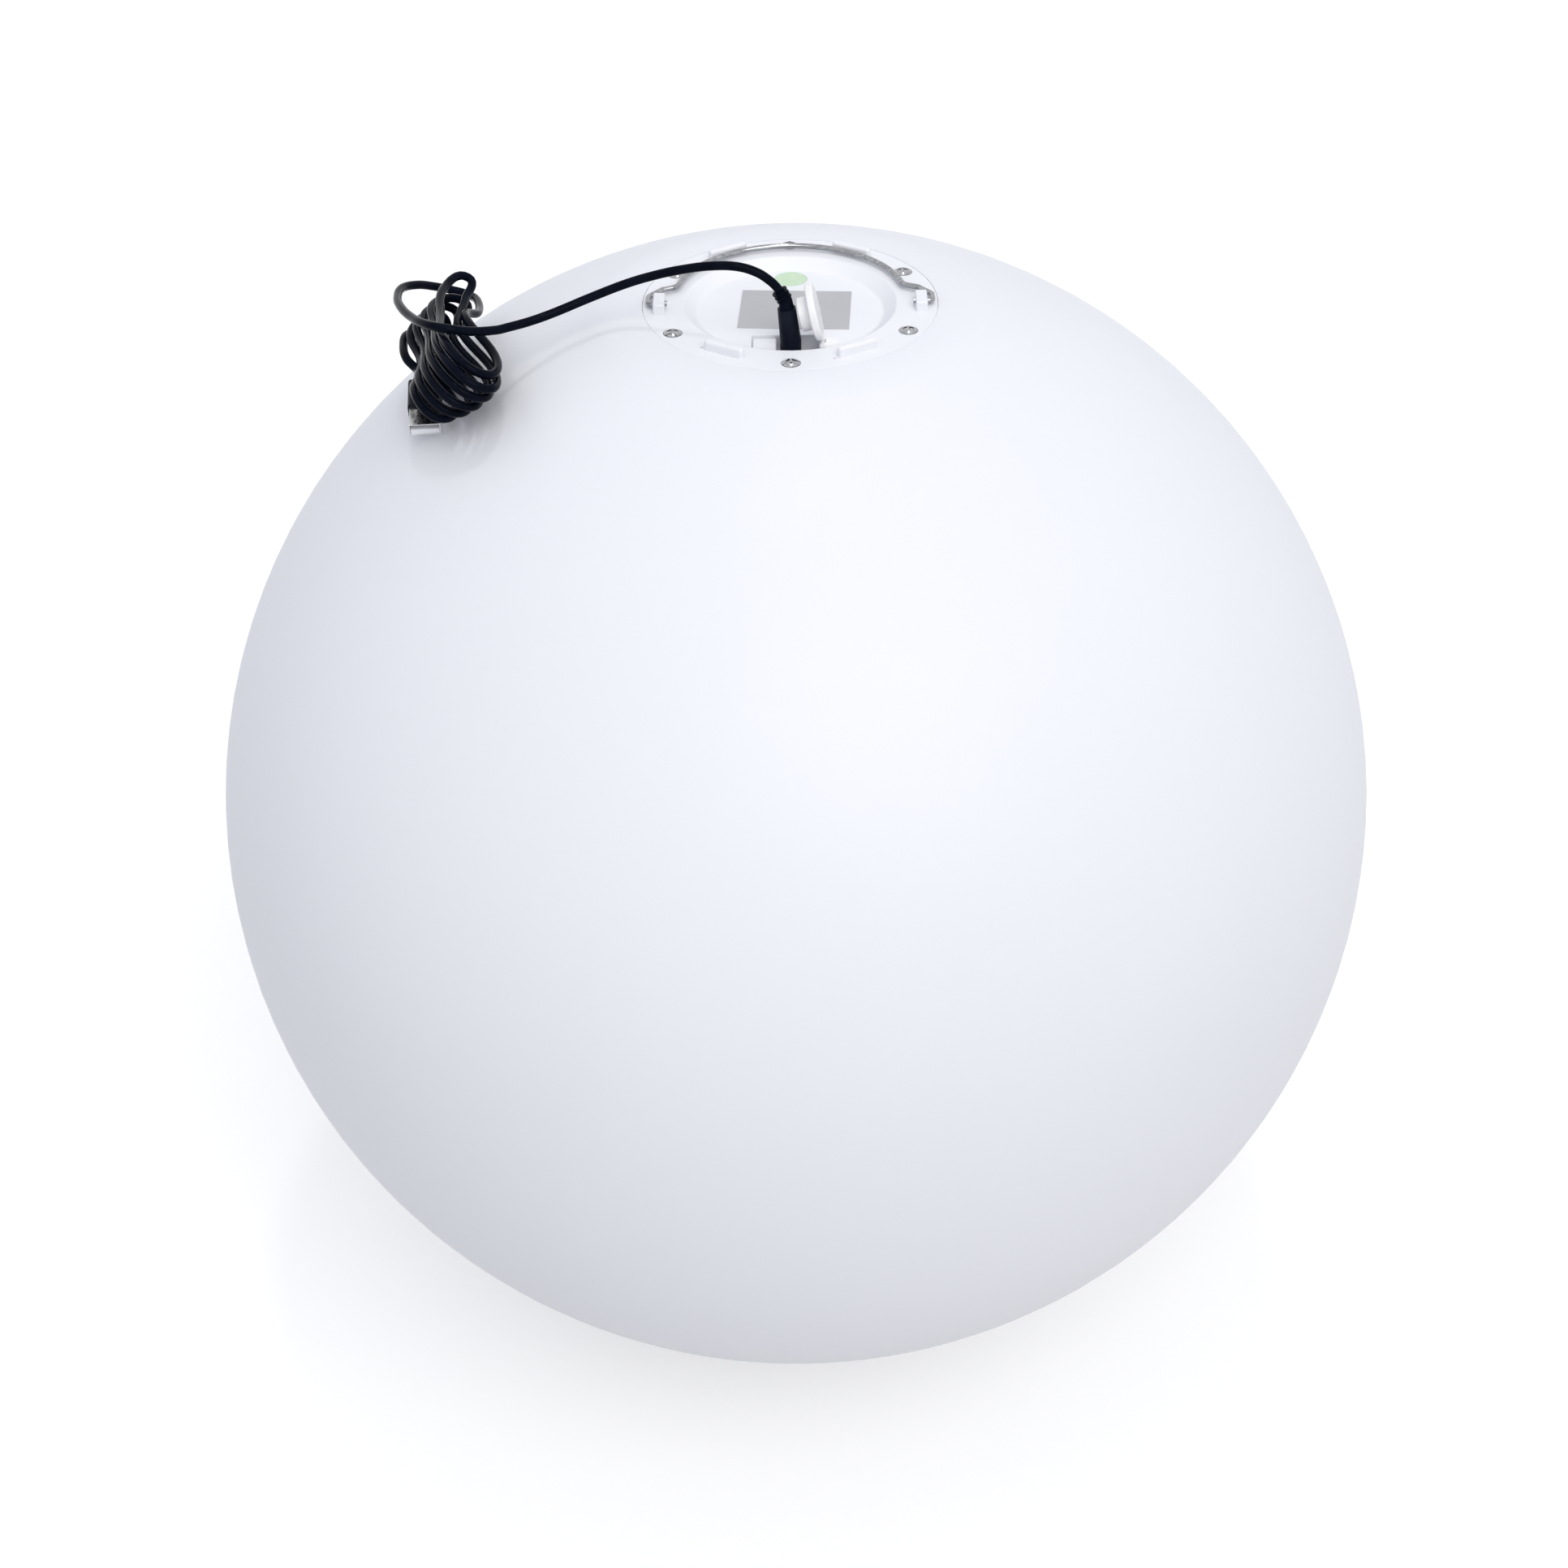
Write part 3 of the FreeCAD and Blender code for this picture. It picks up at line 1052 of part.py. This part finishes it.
def lead_and_hank():
    """The free lead as a tube along runs and tangent arcs, and the hank as a tube of biarcs."""
    lean = math.radians(value("relief_lean"))
    tip = Vector(value("tip_x"), value("socket_y"), value("plate_z + tip_height"))
    rise = [Vector(x, y, value("plate_z") + z) for x, y, z in LEAD_RISE]
    turn = [beside_hank(*place) for place in HANK_START]
    start = tip + Vector(-math.sin(lean), 0, math.cos(lean)) * value("lead_start")
    points = [tip, start] + rise + [beside_hank(*place) for place in LEAD_FALL] + [turn[0]]
    radii = []
    for before, corner, after in zip(points, points[1:], points[2:]):
        runs = [(corner - before).Length, (after - corner).Length]
        half = (corner - before).getAngle(after - corner) / 2
        radii.append(0.45 * min(runs) / math.tan(half))
    edges = rounded_run(points, radii)
    length = sum(edge.Length for edge in edges)
    print(f"lead: {length:.1f} mm, tightest bend {min(radii):.1f} mm")
    keep(sweep("lead", edges, "lead_radius"), "lead_run")

    place, axis = usb_place()
    end = place.Base - axis * value("usb_neck_length")
    parts = [(k, i / STATIONS) for k in range(len(LOOPS)) for i in range(STATIONS)]
    whole = parts[:1 - STATIONS // 2]    # the last loop stops at its waist
    route = turn + [beside_hank(*loop_place(k, part)) for k, part in whole]
    route += [beside_hank(*place) for place in HANK_END] + [end]
    coil = smooth_edges(route, (points[-1] - points[-2]).normalize(), axis)
    bends = [edge.Curve.Radius for edge in coil if edge.Curve.TypeId == "Part::GeomCircle"]
    gap = least_gap(coil, value("lead_radius"), 14)
    print(f"hank: {sum(edge.Length for edge in coil):.1f} mm, least gap {gap:.2f} mm, "
          f"tightest bend {min(bends):.1f} mm")
    keep(sweep("hank", coil, "lead_radius"), "lead_hank")


def usb_plug():
    """Rounded grip with its neck, the folded metal shell and the contact tongue in it."""
    place, _ = usb_place()
    grip = new_body("usb_body")
    outline = sketch_on(grip, "grip_sketch", "XY_Plane")
    draw_rectangle(outline, "-usb_width / 2", "usb_width / 2", "-usb_thickness / 2",
                   "usb_thickness / 2")
    block_pad = pad(grip, outline, "grip_pad", "usb_length")
    long_edge = value("usb_length") * 0.9
    round_edges(grip, "grip_edges", block_pad, "usb_round", lambda e: e.BoundBox.ZLength > long_edge)
    neck = sketch_on(grip, "neck_sketch", "XY_Plane")
    draw_circle(neck, 0, 0, "usb_neck_radius")
    pad(grip, neck, "neck", "usb_neck_length", down=True)
    keep(grip, "usb_plug_body")

    shell = new_body("usb_shell_body")
    tube = sketch_on(shell, "shell_sketch", "XY_Plane", "usb_length")
    draw_rectangle(tube, "-usb_shell_width / 2", "usb_shell_width / 2", "-usb_shell_height / 2",
                   "usb_shell_height / 2")
    inset = "usb_shell_width / 2 - usb_shell_wall"
    rise = "usb_shell_height / 2 - usb_shell_wall"
    draw_rectangle(tube, f"-({inset})", inset, f"-({rise})", rise)
    pad(shell, tube, "shell_pad", "usb_shell_length")
    keep(shell, "usb_shell")

    tongue = new_body("usb_tongue_body")
    bar = sketch_on(tongue, "tongue_sketch", "XY_Plane", "usb_length")
    draw_rectangle(bar, "-usb_tongue_width / 2", "usb_tongue_width / 2", f"-({rise})",
                   f"usb_tongue_height - ({rise})")
    pad(tongue, bar, "tongue_pad", "usb_shell_length - usb_tongue_gap")
    keep(tongue, "usb_tongue")
    for body in (grip, shell, tongue):
        body.Placement = place


# ---- build ----

def check_and_export():
    """Stop on any feature that failed, then write each sub-part."""
    doc.recompute()
    for obj in doc.Objects:
        if "Invalid" in obj.State or "Error" in obj.State:
            raise RuntimeError(f"{obj.Name} did not build")
    os.makedirs("parts", exist_ok=True)
    for obj in nodes:
        shape = obj.Shape
        if shape.isNull() or not shape.isValid():
            raise RuntimeError(f"{obj.Label} has no sound shape")
        shape.exportStep(f"parts/{obj.Label}.step")
        print(f"{obj.Label}: {len(shape.Solids)} solid(s), {shape.Volume:.0f} mm3")


fill_sheet()
for build in (globe_shell, rim_inserts, base_gasket, base_screws, base_plate, bail_handle,
              rating_label, indicator, power_button, socket_cap, cap_tether, charge_socket,
              control_board, housing_seal, module_housing, battery, light_engine, inner_wires,
              barrel_plug, strain_relief, lead_and_hank, usb_plug):
    build()
check_and_export()
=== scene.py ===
import json
import math

import bpy
from mathutils import Matrix, Vector


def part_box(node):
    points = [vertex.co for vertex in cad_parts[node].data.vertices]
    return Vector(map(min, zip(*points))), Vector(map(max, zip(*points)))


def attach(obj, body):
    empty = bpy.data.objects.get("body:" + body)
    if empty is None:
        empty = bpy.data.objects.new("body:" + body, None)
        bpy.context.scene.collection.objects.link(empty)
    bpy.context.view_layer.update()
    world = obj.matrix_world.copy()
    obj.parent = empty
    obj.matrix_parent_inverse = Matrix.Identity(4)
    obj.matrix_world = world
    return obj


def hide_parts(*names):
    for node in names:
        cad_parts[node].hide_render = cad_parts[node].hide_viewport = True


# Garden globe light, crown down, with its charging lead plugged in. Metres, in the CAD frame.

MM = 0.001

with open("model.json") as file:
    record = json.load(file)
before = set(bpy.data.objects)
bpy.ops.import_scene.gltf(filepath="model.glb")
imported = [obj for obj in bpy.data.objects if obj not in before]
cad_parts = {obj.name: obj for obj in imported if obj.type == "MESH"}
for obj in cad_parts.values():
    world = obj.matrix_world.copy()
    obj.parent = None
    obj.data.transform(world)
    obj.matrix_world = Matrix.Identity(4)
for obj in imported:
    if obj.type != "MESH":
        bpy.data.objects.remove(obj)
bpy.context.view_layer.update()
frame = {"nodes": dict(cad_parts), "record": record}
nodes = frame["nodes"]
globe_low, globe_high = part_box("globe_shell")
RADIUS = (globe_high.x - globe_low.x) / 2
CENTRE = Vector((0, 0, globe_low.z + RADIUS))

# ---- camera, as the photograph was taken: pixels are of the 1932-pixel frame ----

FRAME_PX = 1932
FOCAL_PX = 3125.8
GLOBE_CENTRE_PX = (981.0, 977.5)
ELEVATION = math.radians(36.6)
ROLL = math.radians(0.70)
DISTANCE = 1.1394
SENSOR_MM = 36.0


def make_camera():
    back = Vector((0, -math.cos(ELEVATION), math.sin(ELEVATION)))
    data = bpy.data.cameras.new("camera")
    data.sensor_width = SENSOR_MM
    data.lens = SENSOR_MM * FOCAL_PX / FRAME_PX
    data.shift_x = (FRAME_PX / 2 - GLOBE_CENTRE_PX[0]) / FRAME_PX
    data.shift_y = (GLOBE_CENTRE_PX[1] - FRAME_PX / 2) / FRAME_PX
    data.dof.use_dof = False
    camera = bpy.data.objects.new("camera", data)
    bpy.context.scene.collection.objects.link(camera)
    turn = (-back).to_track_quat("-Z", "Y").to_matrix().to_4x4()
    place = Matrix.Translation(CENTRE + back * DISTANCE)
    camera.matrix_world = place @ turn @ Matrix.Rotation(-ROLL, 4, "Z")
    bpy.context.scene.camera = camera


# ---- materials ----

BROAD_DETAIL = 3.0
GRAIN_DETAIL = 5.0
NOISE_RANGE = (0.3, 0.7)    # where nearly all of a noise texture's values lie
PATCH_STOPS = (0.35, 0.65)
MARK_SCALE = 900
MARK_DETAIL = 4.0
MARK_DEPTH = 0.000004


def new_material(name):
    material = bpy.data.materials.new(name)
    material.use_nodes = True
    return material, material.node_tree.nodes, material.node_tree.links


def noise(nodes, links, scale, detail, stretch=None):
    """Noise over the object's own space, its scale per metre."""
    texture = nodes.new("ShaderNodeTexNoise")
    texture.inputs["Scale"].default_value = scale
    texture.inputs["Detail"].default_value = detail
    place = nodes.new("ShaderNodeTexCoord")
    source = place.outputs["Object"]
    if stretch:
        mapping = nodes.new("ShaderNodeMapping")
        mapping.inputs["Scale"].default_value = stretch
        links.new(source, mapping.inputs["Vector"])
        source = mapping.outputs["Vector"]
    links.new(source, texture.inputs["Vector"])
    return texture.outputs["Fac"]


def ramp(nodes, links, source, stops):
    """Two colours along a value: stops are two pairs of place and colour."""
    node = nodes.new("ShaderNodeValToRGB")
    elements = node.color_ramp.elements
    for element, (place, colour) in zip(elements, stops):
        element.position = place
        element.color = (*colour, 1)
    links.new(source, node.inputs["Fac"])
    return node.outputs["Color"]


def spread(nodes, links, source, low, high):
    """A noise value stretched onto low to high."""
    node = nodes.new("ShaderNodeMapRange")
    node.inputs["From Min"].default_value = NOISE_RANGE[0]
    node.inputs["From Max"].default_value = NOISE_RANGE[1]
    node.inputs["To Min"].default_value = low
    node.inputs["To Max"].default_value = high
    links.new(source, node.inputs["Value"])
    return node.outputs["Result"]


def bump(nodes, links, shader, source, height):
    node = nodes.new("ShaderNodeBump")
    node.inputs["Distance"].default_value = height
    node.inputs["Strength"].default_value = 1.0
    links.new(source, node.inputs["Height"])
    links.new(node.outputs["Normal"], shader.inputs["Normal"])

def surface(name, light, dark, rough, patch, grain, depth, **constants):
    """A finish whose colour drifts over patches, with a fine grain in its gloss and relief."""
    material, nodes, links = new_material(name)
    shader = nodes["Principled BSDF"]
    broad = noise(nodes, links, patch, BROAD_DETAIL)
    fine = noise(nodes, links, grain, GRAIN_DETAIL)
    colour = ramp(nodes, links, broad, zip(PATCH_STOPS, (dark, light)))
    links.new(colour, shader.inputs["Base Color"])
    links.new(spread(nodes, links, fine, *rough), shader.inputs["Roughness"])
    bump(nodes, links, shader, fine, depth)
    for socket, number in constants.items():
        shader.inputs[socket.replace("_", " ")].default_value = number
    return material


def metal(name, light, dark, rough, stretch=None):
    """Metal with fine marks, drawn along one direction where they are stretched."""
    material, nodes, links = new_material(name)
    shader = nodes["Principled BSDF"]
    shader.inputs["Metallic"].default_value = 1.0
    marks = noise(nodes, links, MARK_SCALE, MARK_DETAIL, stretch)
    colour = ramp(nodes, links, marks, zip(NOISE_RANGE, (dark, light)))
    links.new(colour, shader.inputs["Base Color"])
    links.new(spread(nodes, links, marks, *rough), shader.inputs["Roughness"])
    bump(nodes, links, shader, marks, MARK_DEPTH)
    return material


# A finish's light and dark are its two colours and rough is its range of roughness. A surface
# has patch and grain, its noise scales per metre, and depth, the height of its grain in metres.
# A metal's stretch scales its marks along each axis. Names with a capital are shader sockets.
FINISHES = {
    # Satin milky polyethylene: light sinks in, and the moulded skin has a faint orange peel.
    "globe_plastic": (surface, dict(
        light=(0.83, 0.84, 0.875), dark=(0.82, 0.83, 0.865), rough=(0.42, 0.50), patch=5,
        grain=900, depth=0.00001, Subsurface_Weight=0.2, Subsurface_Radius=(1, 1, 1),
        Subsurface_Scale=0.0015, Specular_IOR_Level=0.35)),
    "white_plastic": (surface, dict(
        light=(0.86, 0.87, 0.90), dark=(0.84, 0.85, 0.88), rough=(0.34, 0.44), patch=30,
        grain=2500, depth=0.00001, Subsurface_Weight=0.1, Subsurface_Radius=(1, 1, 1),
        Subsurface_Scale=0.001, Specular_IOR_Level=0.4)),
    "clear_rubber": (surface, dict(
        light=(0.90, 0.90, 0.90), dark=(0.86, 0.86, 0.865), rough=(0.28, 0.40), patch=90,
        grain=3000, depth=0.000015, Subsurface_Weight=0.2, Subsurface_Radius=(1, 1, 1),
        Subsurface_Scale=0.001)),
    "grey_rubber": (surface, dict(
        light=(0.34, 0.35, 0.36), dark=(0.28, 0.29, 0.30), rough=(0.6, 0.75), patch=60,
        grain=2500, depth=0.00003)),
    "black_plastic": (surface, dict(
        light=(0.009, 0.012, 0.022), dark=(0.006, 0.008, 0.015), rough=(0.26, 0.38), patch=120,
        grain=3500, depth=0.00001, Specular_IOR_Level=0.06)),
    # Soft black jacket with a slight sheen.
    "lead_rubber": (surface, dict(
        light=(0.004, 0.006, 0.013), dark=(0.002, 0.0035, 0.008), rough=(0.08, 0.14), patch=150,
        grain=1800, depth=0.000004, Specular_IOR_Level=0.025)),
    "bail_steel": (metal, dict(
        light=(0.44, 0.45, 0.47), dark=(0.24, 0.25, 0.27), rough=(0.10, 0.18),
        stretch=(0.1, 1, 1))),
    "screw_steel": (metal, dict(
        light=(0.50, 0.51, 0.53), dark=(0.32, 0.33, 0.35), rough=(0.12, 0.22))),
    "plug_metal": (metal, dict(
        light=(0.86, 0.86, 0.87), dark=(0.74, 0.74, 0.75), rough=(0.12, 0.22),
        stretch=(1, 1, 0.1))),
    "insert_brass": (metal, dict(
        light=(0.72, 0.52, 0.22), dark=(0.60, 0.42, 0.16), rough=(0.25, 0.4))),
    "spreader_metal": (metal, dict(
        light=(0.70, 0.71, 0.72), dark=(0.58, 0.59, 0.60), rough=(0.3, 0.45),
        stretch=(0.1, 1, 1))),
    # Grey satin foil.
    "label_foil": (surface, dict(
        light=(0.50, 0.505, 0.53), dark=(0.47, 0.475, 0.50), rough=(0.36, 0.5), patch=40,
        grain=1500, depth=0.000003, Metallic=0.35)),
    "window_green": (surface, dict(
        light=(0.61, 0.76, 0.55), dark=(0.58, 0.73, 0.52), rough=(0.2, 0.3), patch=200,
        grain=2500, depth=0.000004, Subsurface_Weight=0.4, Subsurface_Scale=0.003)),
    "board_green": (surface, dict(
        light=(0.02, 0.16, 0.06), dark=(0.015, 0.11, 0.045), rough=(0.3, 0.45), patch=160,
        grain=2000, depth=0.00001)),
    "lamp_yellow": (surface, dict(
        light=(0.85, 0.72, 0.20), dark=(0.75, 0.60, 0.14), rough=(0.25, 0.4), patch=400,
        grain=3000, depth=0.00001)),
    "cell_wrap": (surface, dict(
        light=(0.03, 0.10, 0.28), dark=(0.02, 0.07, 0.21), rough=(0.18, 0.3), patch=60,
        grain=1500, depth=0.00001)),
    "wire_red": (surface, dict(
        light=(0.34, 0.02, 0.015), dark=(0.26, 0.012, 0.01), rough=(0.3, 0.45), patch=300,
        grain=2500, depth=0.00001)),
    "frosted_plastic": (surface, dict(
        light=(0.84, 0.84, 0.83), dark=(0.80, 0.80, 0.79), rough=(0.5, 0.65), patch=50,
        grain=2500, depth=0.00002, Subsurface_Weight=0.35, Subsurface_Scale=0.004)),
}


def dress_nodes():
    """Give each CAD node the finish of its material slot."""
    made = {name: make(name, **looks) for name, (make, looks) in FINISHES.items()}
    for part in frame["record"]["subparts"]:
        node = nodes[part["node"]]
        node.data.materials.clear()
        node.data.materials.append(made[part["material_slot"]])
    return made


# ---- charging lead: the route of the CAD source, in millimetres ----

LEAD_RADIUS = 1.75
LEAD_START = 2.6
RELIEF_LEAN = math.radians(30)
LEAD_RISE = [
    (-9.6, -28.4, 24.1), (-15.5, -28.2, 27.6), (-24.5, -27.4, 28.5), (-34.0, -25.4, 27.1),
    (-45.0, -22.3, 23.9), (-56.0, -19.6, 20.0), (-69.0, -18.8, 15.2),
]
LEAD_FALL = [(56.2, 51.4, 14.8), (56.4, 41.7, 16.2), (57.4, 32.4, 19.0)]
HANK_LEAN = math.radians(34.3)
HANK_BEARING = math.radians(173.7)
HANK_RUN = Vector((0.245, -0.937, 0.245))
HANK_TILT = math.radians(62)
LOOP_STEP = 4.7
WAIST = {"along": 31, "across": -5, "height": 14.4}
HANK_START = [
    (59.6, 23.9, 23.8), (62.0, 16.5, 30.6), (62.2, 10.6, 37.3), (55.1, 5.9, 39.5),
    (39.1, 2.9, 37.6), (22.9, 1.7, 36.6), (8.3, 2.4, 35.7), (-4.9, 5.5, 34.2),
    (-13.0, 10.5, 29.8), (-18.8, 14.9, 24.5), (-22.8, 19.2, 19.1), (-21.1, 23.3, 14.5),
    (-12.1, 25.4, 11.4), (10.2, 22.7, 12.5),
]
LOOPS = [
    (48.7, 21, -5.1, 33, 4, 15.5, -0.1, 4.6), (52.8, 22, -3.8, 31, 10, 13.3, -4.2, 4.6),
    (51.5, 22, -3.8, 31, 10, 12.4, -1.8, 4.6), (48.7, 21, -4.9, 31, 10, 11.5, 0.9, 4.2),
    (44.0, 21, -5.7, 31, 10, 10.6, 3.5, 3.4), (37.7, 19, -7.0, 30, 9, 9.7, 6.3, 2.4),
]
STATIONS = 8
HANK_END = [
    (23.3, -8.6, 19.5), (12.9, -6.8, 20.8), (2.5, -3.9, 20.3), (-4.9, -1.8, 15.9),
    (-5.5, -2.7, 10.1), (3.5, -6.6, 7.5),
]
USB_BACK = (28.92, -9.96, 8.03)
USB_FRONT = (55.91, -19.64, 7.31)
USB_NECK = 7
PLATE_HEIGHT = 490.4036
GLOBE_MM = 250.0
# The plug's and the strain relief's sizes, which place the end that the lead leaves from.
PLUG_LEAN = math.radians(6)
PLUG_Y = -28.5
PLUG_STRAIGHT = 12.5
PLUG_TAPER = 13.5
PLUG_BOTTOM = 14.8
RELIEF_KNEE = 3
RELIEF_LENGTH = 5
HANDLE = 0.36    # a spline handle's length, as a share of the run to the next point
SPLINE_STEPS = 8
BEVEL_STEPS = 6


def hank_frame():
    """Away from the globe, along the hank and across it, at the middle of the hank."""
    level = math.sin(HANK_LEAN)
    x, y = level * math.cos(HANK_BEARING), level * math.sin(HANK_BEARING)
    out = Vector((x, y, math.cos(HANK_LEAN)))
    along = (HANK_RUN - out * HANK_RUN.dot(out)).normalized()
    return out, along, out.cross(along)


def beside_hank(along, across, height):
    """The point, in millimetres, at a place on the globe beside the hank."""
    out, run, side = hank_frame()
    first, second = along / GLOBE_MM, across / GLOBE_MM
    level = out * math.cos(second) + side * math.sin(second)
    ray = level * math.cos(first) + run * math.sin(first)
    return Vector((0, 0, GLOBE_MM)) + ray * (GLOBE_MM + height)


def loop_place(turn, part):
    """A place on a hank loop: part 0 to 0.5 is its near lobe, 0.5 to 1 its far lobe."""
    near, near_swell, near_shift, far, far_swell, far_shift, far_rise, half = LOOPS[turn]
    angle = math.pi / 2 - 2 * math.pi * part
    end, side = math.cos(angle), math.sin(angle)
    if end > 0:
        reach, swell, shift, rise = near, near_swell, near_shift, 0
    else:
        reach, swell, shift, rise = far, far_swell, far_shift, far_rise
    width = (half + swell * end ** 2) * side
    climb = min(max((part - 0.25) / 0.5, 0), 1)
    climb = climb ** 2 * (3 - 2 * climb)
    stack = LOOP_STEP * (len(LOOPS) - 1 - turn - climb)
    across = width * math.cos(HANK_TILT) + stack * math.sin(HANK_TILT) + shift * end ** 2
    height = stack * math.cos(HANK_TILT) - width * math.sin(HANK_TILT) + rise * end ** 2
    return WAIST["along"] + reach * end, WAIST["across"] + across, WAIST["height"] + height


def relief_tip():
    """The middle of the strain relief's end, worked out as the CAD source does."""
    leaning = PLUG_TAPER + RELIEF_KNEE
    x = -math.sin(PLUG_LEAN) * leaning - math.sin(RELIEF_LEAN) * RELIEF_LENGTH
    z = PLUG_STRAIGHT - PLUG_BOTTOM + math.cos(PLUG_LEAN) * leaning
    z += math.cos(RELIEF_LEAN) * RELIEF_LENGTH
    return Vector((x, PLUG_Y, PLATE_HEIGHT + z))


def lead_points():
    """The whole lead's route from the strain relief's tip to the USB plug's neck."""
    tip = relief_tip()
    start = tip + Vector((-math.sin(RELIEF_LEAN), 0, math.cos(RELIEF_LEAN))) * LEAD_START
    corners = [tip, start] + [Vector((x, y, PLATE_HEIGHT + z)) for x, y, z in LEAD_RISE]
    corners += [beside_hank(*place) for place in LEAD_FALL + HANK_START[:1]]
    points = [tip] + [(a + b) / 2 for a, b in zip(corners, corners[1:])]
    points += [beside_hank(*place) for place in HANK_START]
    parts = [(k, i / STATIONS) for k in range(len(LOOPS)) for i in range(STATIONS)]
    points += [beside_hank(*loop_place(k, part)) for k, part in parts[:1 - STATIONS // 2]]
    points += [beside_hank(*place) for place in HANK_END]
    back, front = beside_hank(*USB_BACK), beside_hank(*USB_FRONT)
    axis = (front - back).normalized()
    return points + [back - axis * USB_NECK], axis


def make_lead(finish):
    """One smooth spline from plug to plug, in place of the CAD tubes."""
    route, last_way = lead_points()
    data = bpy.data.curves.new("charging_lead", "CURVE")
    data.dimensions = "3D"
    spline = data.splines.new("BEZIER")
    spline.bezier_points.add(len(route) - 1)
    ways = [(route[1] - route[0]).normalized()]
    ways += [(after - before).normalized() for before, after in zip(route, route[2:])]
    ways.append(last_way)
    runs = [(after - before).length for before, after in zip(route, route[1:])]
    for i, point in enumerate(spline.bezier_points):
        point.handle_left_type = point.handle_right_type = "FREE"
        point.co = route[i] * MM
        point.handle_left = (route[i] - ways[i] * runs[max(i - 1, 0)] * HANDLE) * MM
        point.handle_right = (route[i] + ways[i] * runs[min(i, len(runs) - 1)] * HANDLE) * MM
    spline.resolution_u = SPLINE_STEPS
    data.bevel_depth = LEAD_RADIUS * MM
    data.bevel_resolution = BEVEL_STEPS
    data.use_fill_caps = True
    data.materials.append(finish)
    lead = bpy.data.objects.new("charging_lead", data)
    bpy.context.scene.collection.objects.link(lead)
    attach(lead, "lamp")
    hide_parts("lead_run", "lead_hank")


# ---- floor, backdrop and lights ----

WHITE = (1, 1, 1, 1)
FLOOR_SIZE = 14
FLOOR_DROP = 0.0002    # keeps the floor just clear of the globe's crown
FLOOR_COLOUR = (0.62, 0.62, 0.62, 1)
FLOOR_ROUGHNESS = 0.9
FLOOR_GLOW = 0.44    # lifts the floor to white on the rays that show it
SKY_STOPS = [(0.0, (0.37, 0.385, 0.47)), (0.85, (0.84, 0.86, 0.93))]
SKY_STRENGTH = 0.87
# Each lamp's name, strength, width in degrees, colour and the way toward it.
LAMPS = [
    ("key", 1.48, 50, (1.0, 0.98, 0.92), (0.24, -0.68, 0.70)),
    ("glint", 0.26, 5, (1.0, 1.0, 1.0), (0.05, 0.10, 1.0)),
]


def seen_ray(nodes, links):
    """1 on rays that show the backdrop, also in gloss or glass, and 0 on the rest."""
    path = nodes.new("ShaderNodeLightPath")
    seen = path.outputs["Is Camera Ray"]
    for kind in ("Is Glossy Ray", "Is Transmission Ray"):
        total = nodes.new("ShaderNodeMath")
        links.new(seen, total.inputs[0])
        links.new(path.outputs[kind], total.inputs[1])
        seen = total.outputs["Value"]
    return seen


def make_floor():
    """A wide pale floor that shows white and takes a soft shadow."""
    place = (0, 0, globe_low.z - FLOOR_DROP)
    bpy.ops.mesh.primitive_plane_add(size=FLOOR_SIZE, location=place)
    floor = bpy.context.object
    floor.name = "floor"
    material, nodes, links = new_material("floor_white")
    shader = nodes["Principled BSDF"]
    shader.inputs["Base Color"].default_value = FLOOR_COLOUR
    shader.inputs["Roughness"].default_value = FLOOR_ROUGHNESS
    shader.inputs["Specular IOR Level"].default_value = 0.0
    shader.inputs["Emission Color"].default_value = WHITE
    glow = nodes.new("ShaderNodeMath")
    glow.operation = "MULTIPLY"
    links.new(seen_ray(nodes, links), glow.inputs[0])
    glow.inputs[1].default_value = FLOOR_GLOW
    links.new(glow.outputs["Value"], shader.inputs["Emission Strength"])
    floor.data.materials.append(material)


def light_scene():
    """A pale sky, a white backdrop on the rays that show it, and the lamps."""
    world = bpy.data.worlds.new("studio")
    bpy.context.scene.world = world
    world.use_nodes = True
    nodes, links = world.node_tree.nodes, world.node_tree.links
    place, part = nodes.new("ShaderNodeTexCoord"), nodes.new("ShaderNodeSeparateXYZ")
    links.new(place.outputs["Generated"], part.inputs["Vector"])
    sky = ramp(nodes, links, part.outputs["Z"], SKY_STOPS)
    background = nodes["Background"]
    links.new(sky, background.inputs["Color"])
    background.inputs["Strength"].default_value = SKY_STRENGTH
    backdrop = nodes.new("ShaderNodeBackground")
    mix = nodes.new("ShaderNodeMixShader")
    links.new(seen_ray(nodes, links), mix.inputs["Fac"])
    links.new(background.outputs["Background"], mix.inputs[1])
    links.new(backdrop.outputs["Background"], mix.inputs[2])
    backdrop.inputs["Color"].default_value = WHITE
    links.new(mix.outputs["Shader"], nodes["World Output"].inputs["Surface"])
    for name, energy, angle, colour, toward in LAMPS:
        light = bpy.data.lights.new(name, "SUN")
        light.energy = energy
        light.angle = math.radians(angle)
        light.color = colour
        lamp = bpy.data.objects.new(name, light)
        lamp.rotation_euler = Vector(toward).to_track_quat("Z", "Y").to_euler()
        bpy.context.scene.collection.objects.link(lamp)


make_camera()
finishes = dress_nodes()
make_lead(finishes["lead_rubber"])
make_floor()
light_scene()
bpy.context.scene.view_settings.view_transform = "Standard"
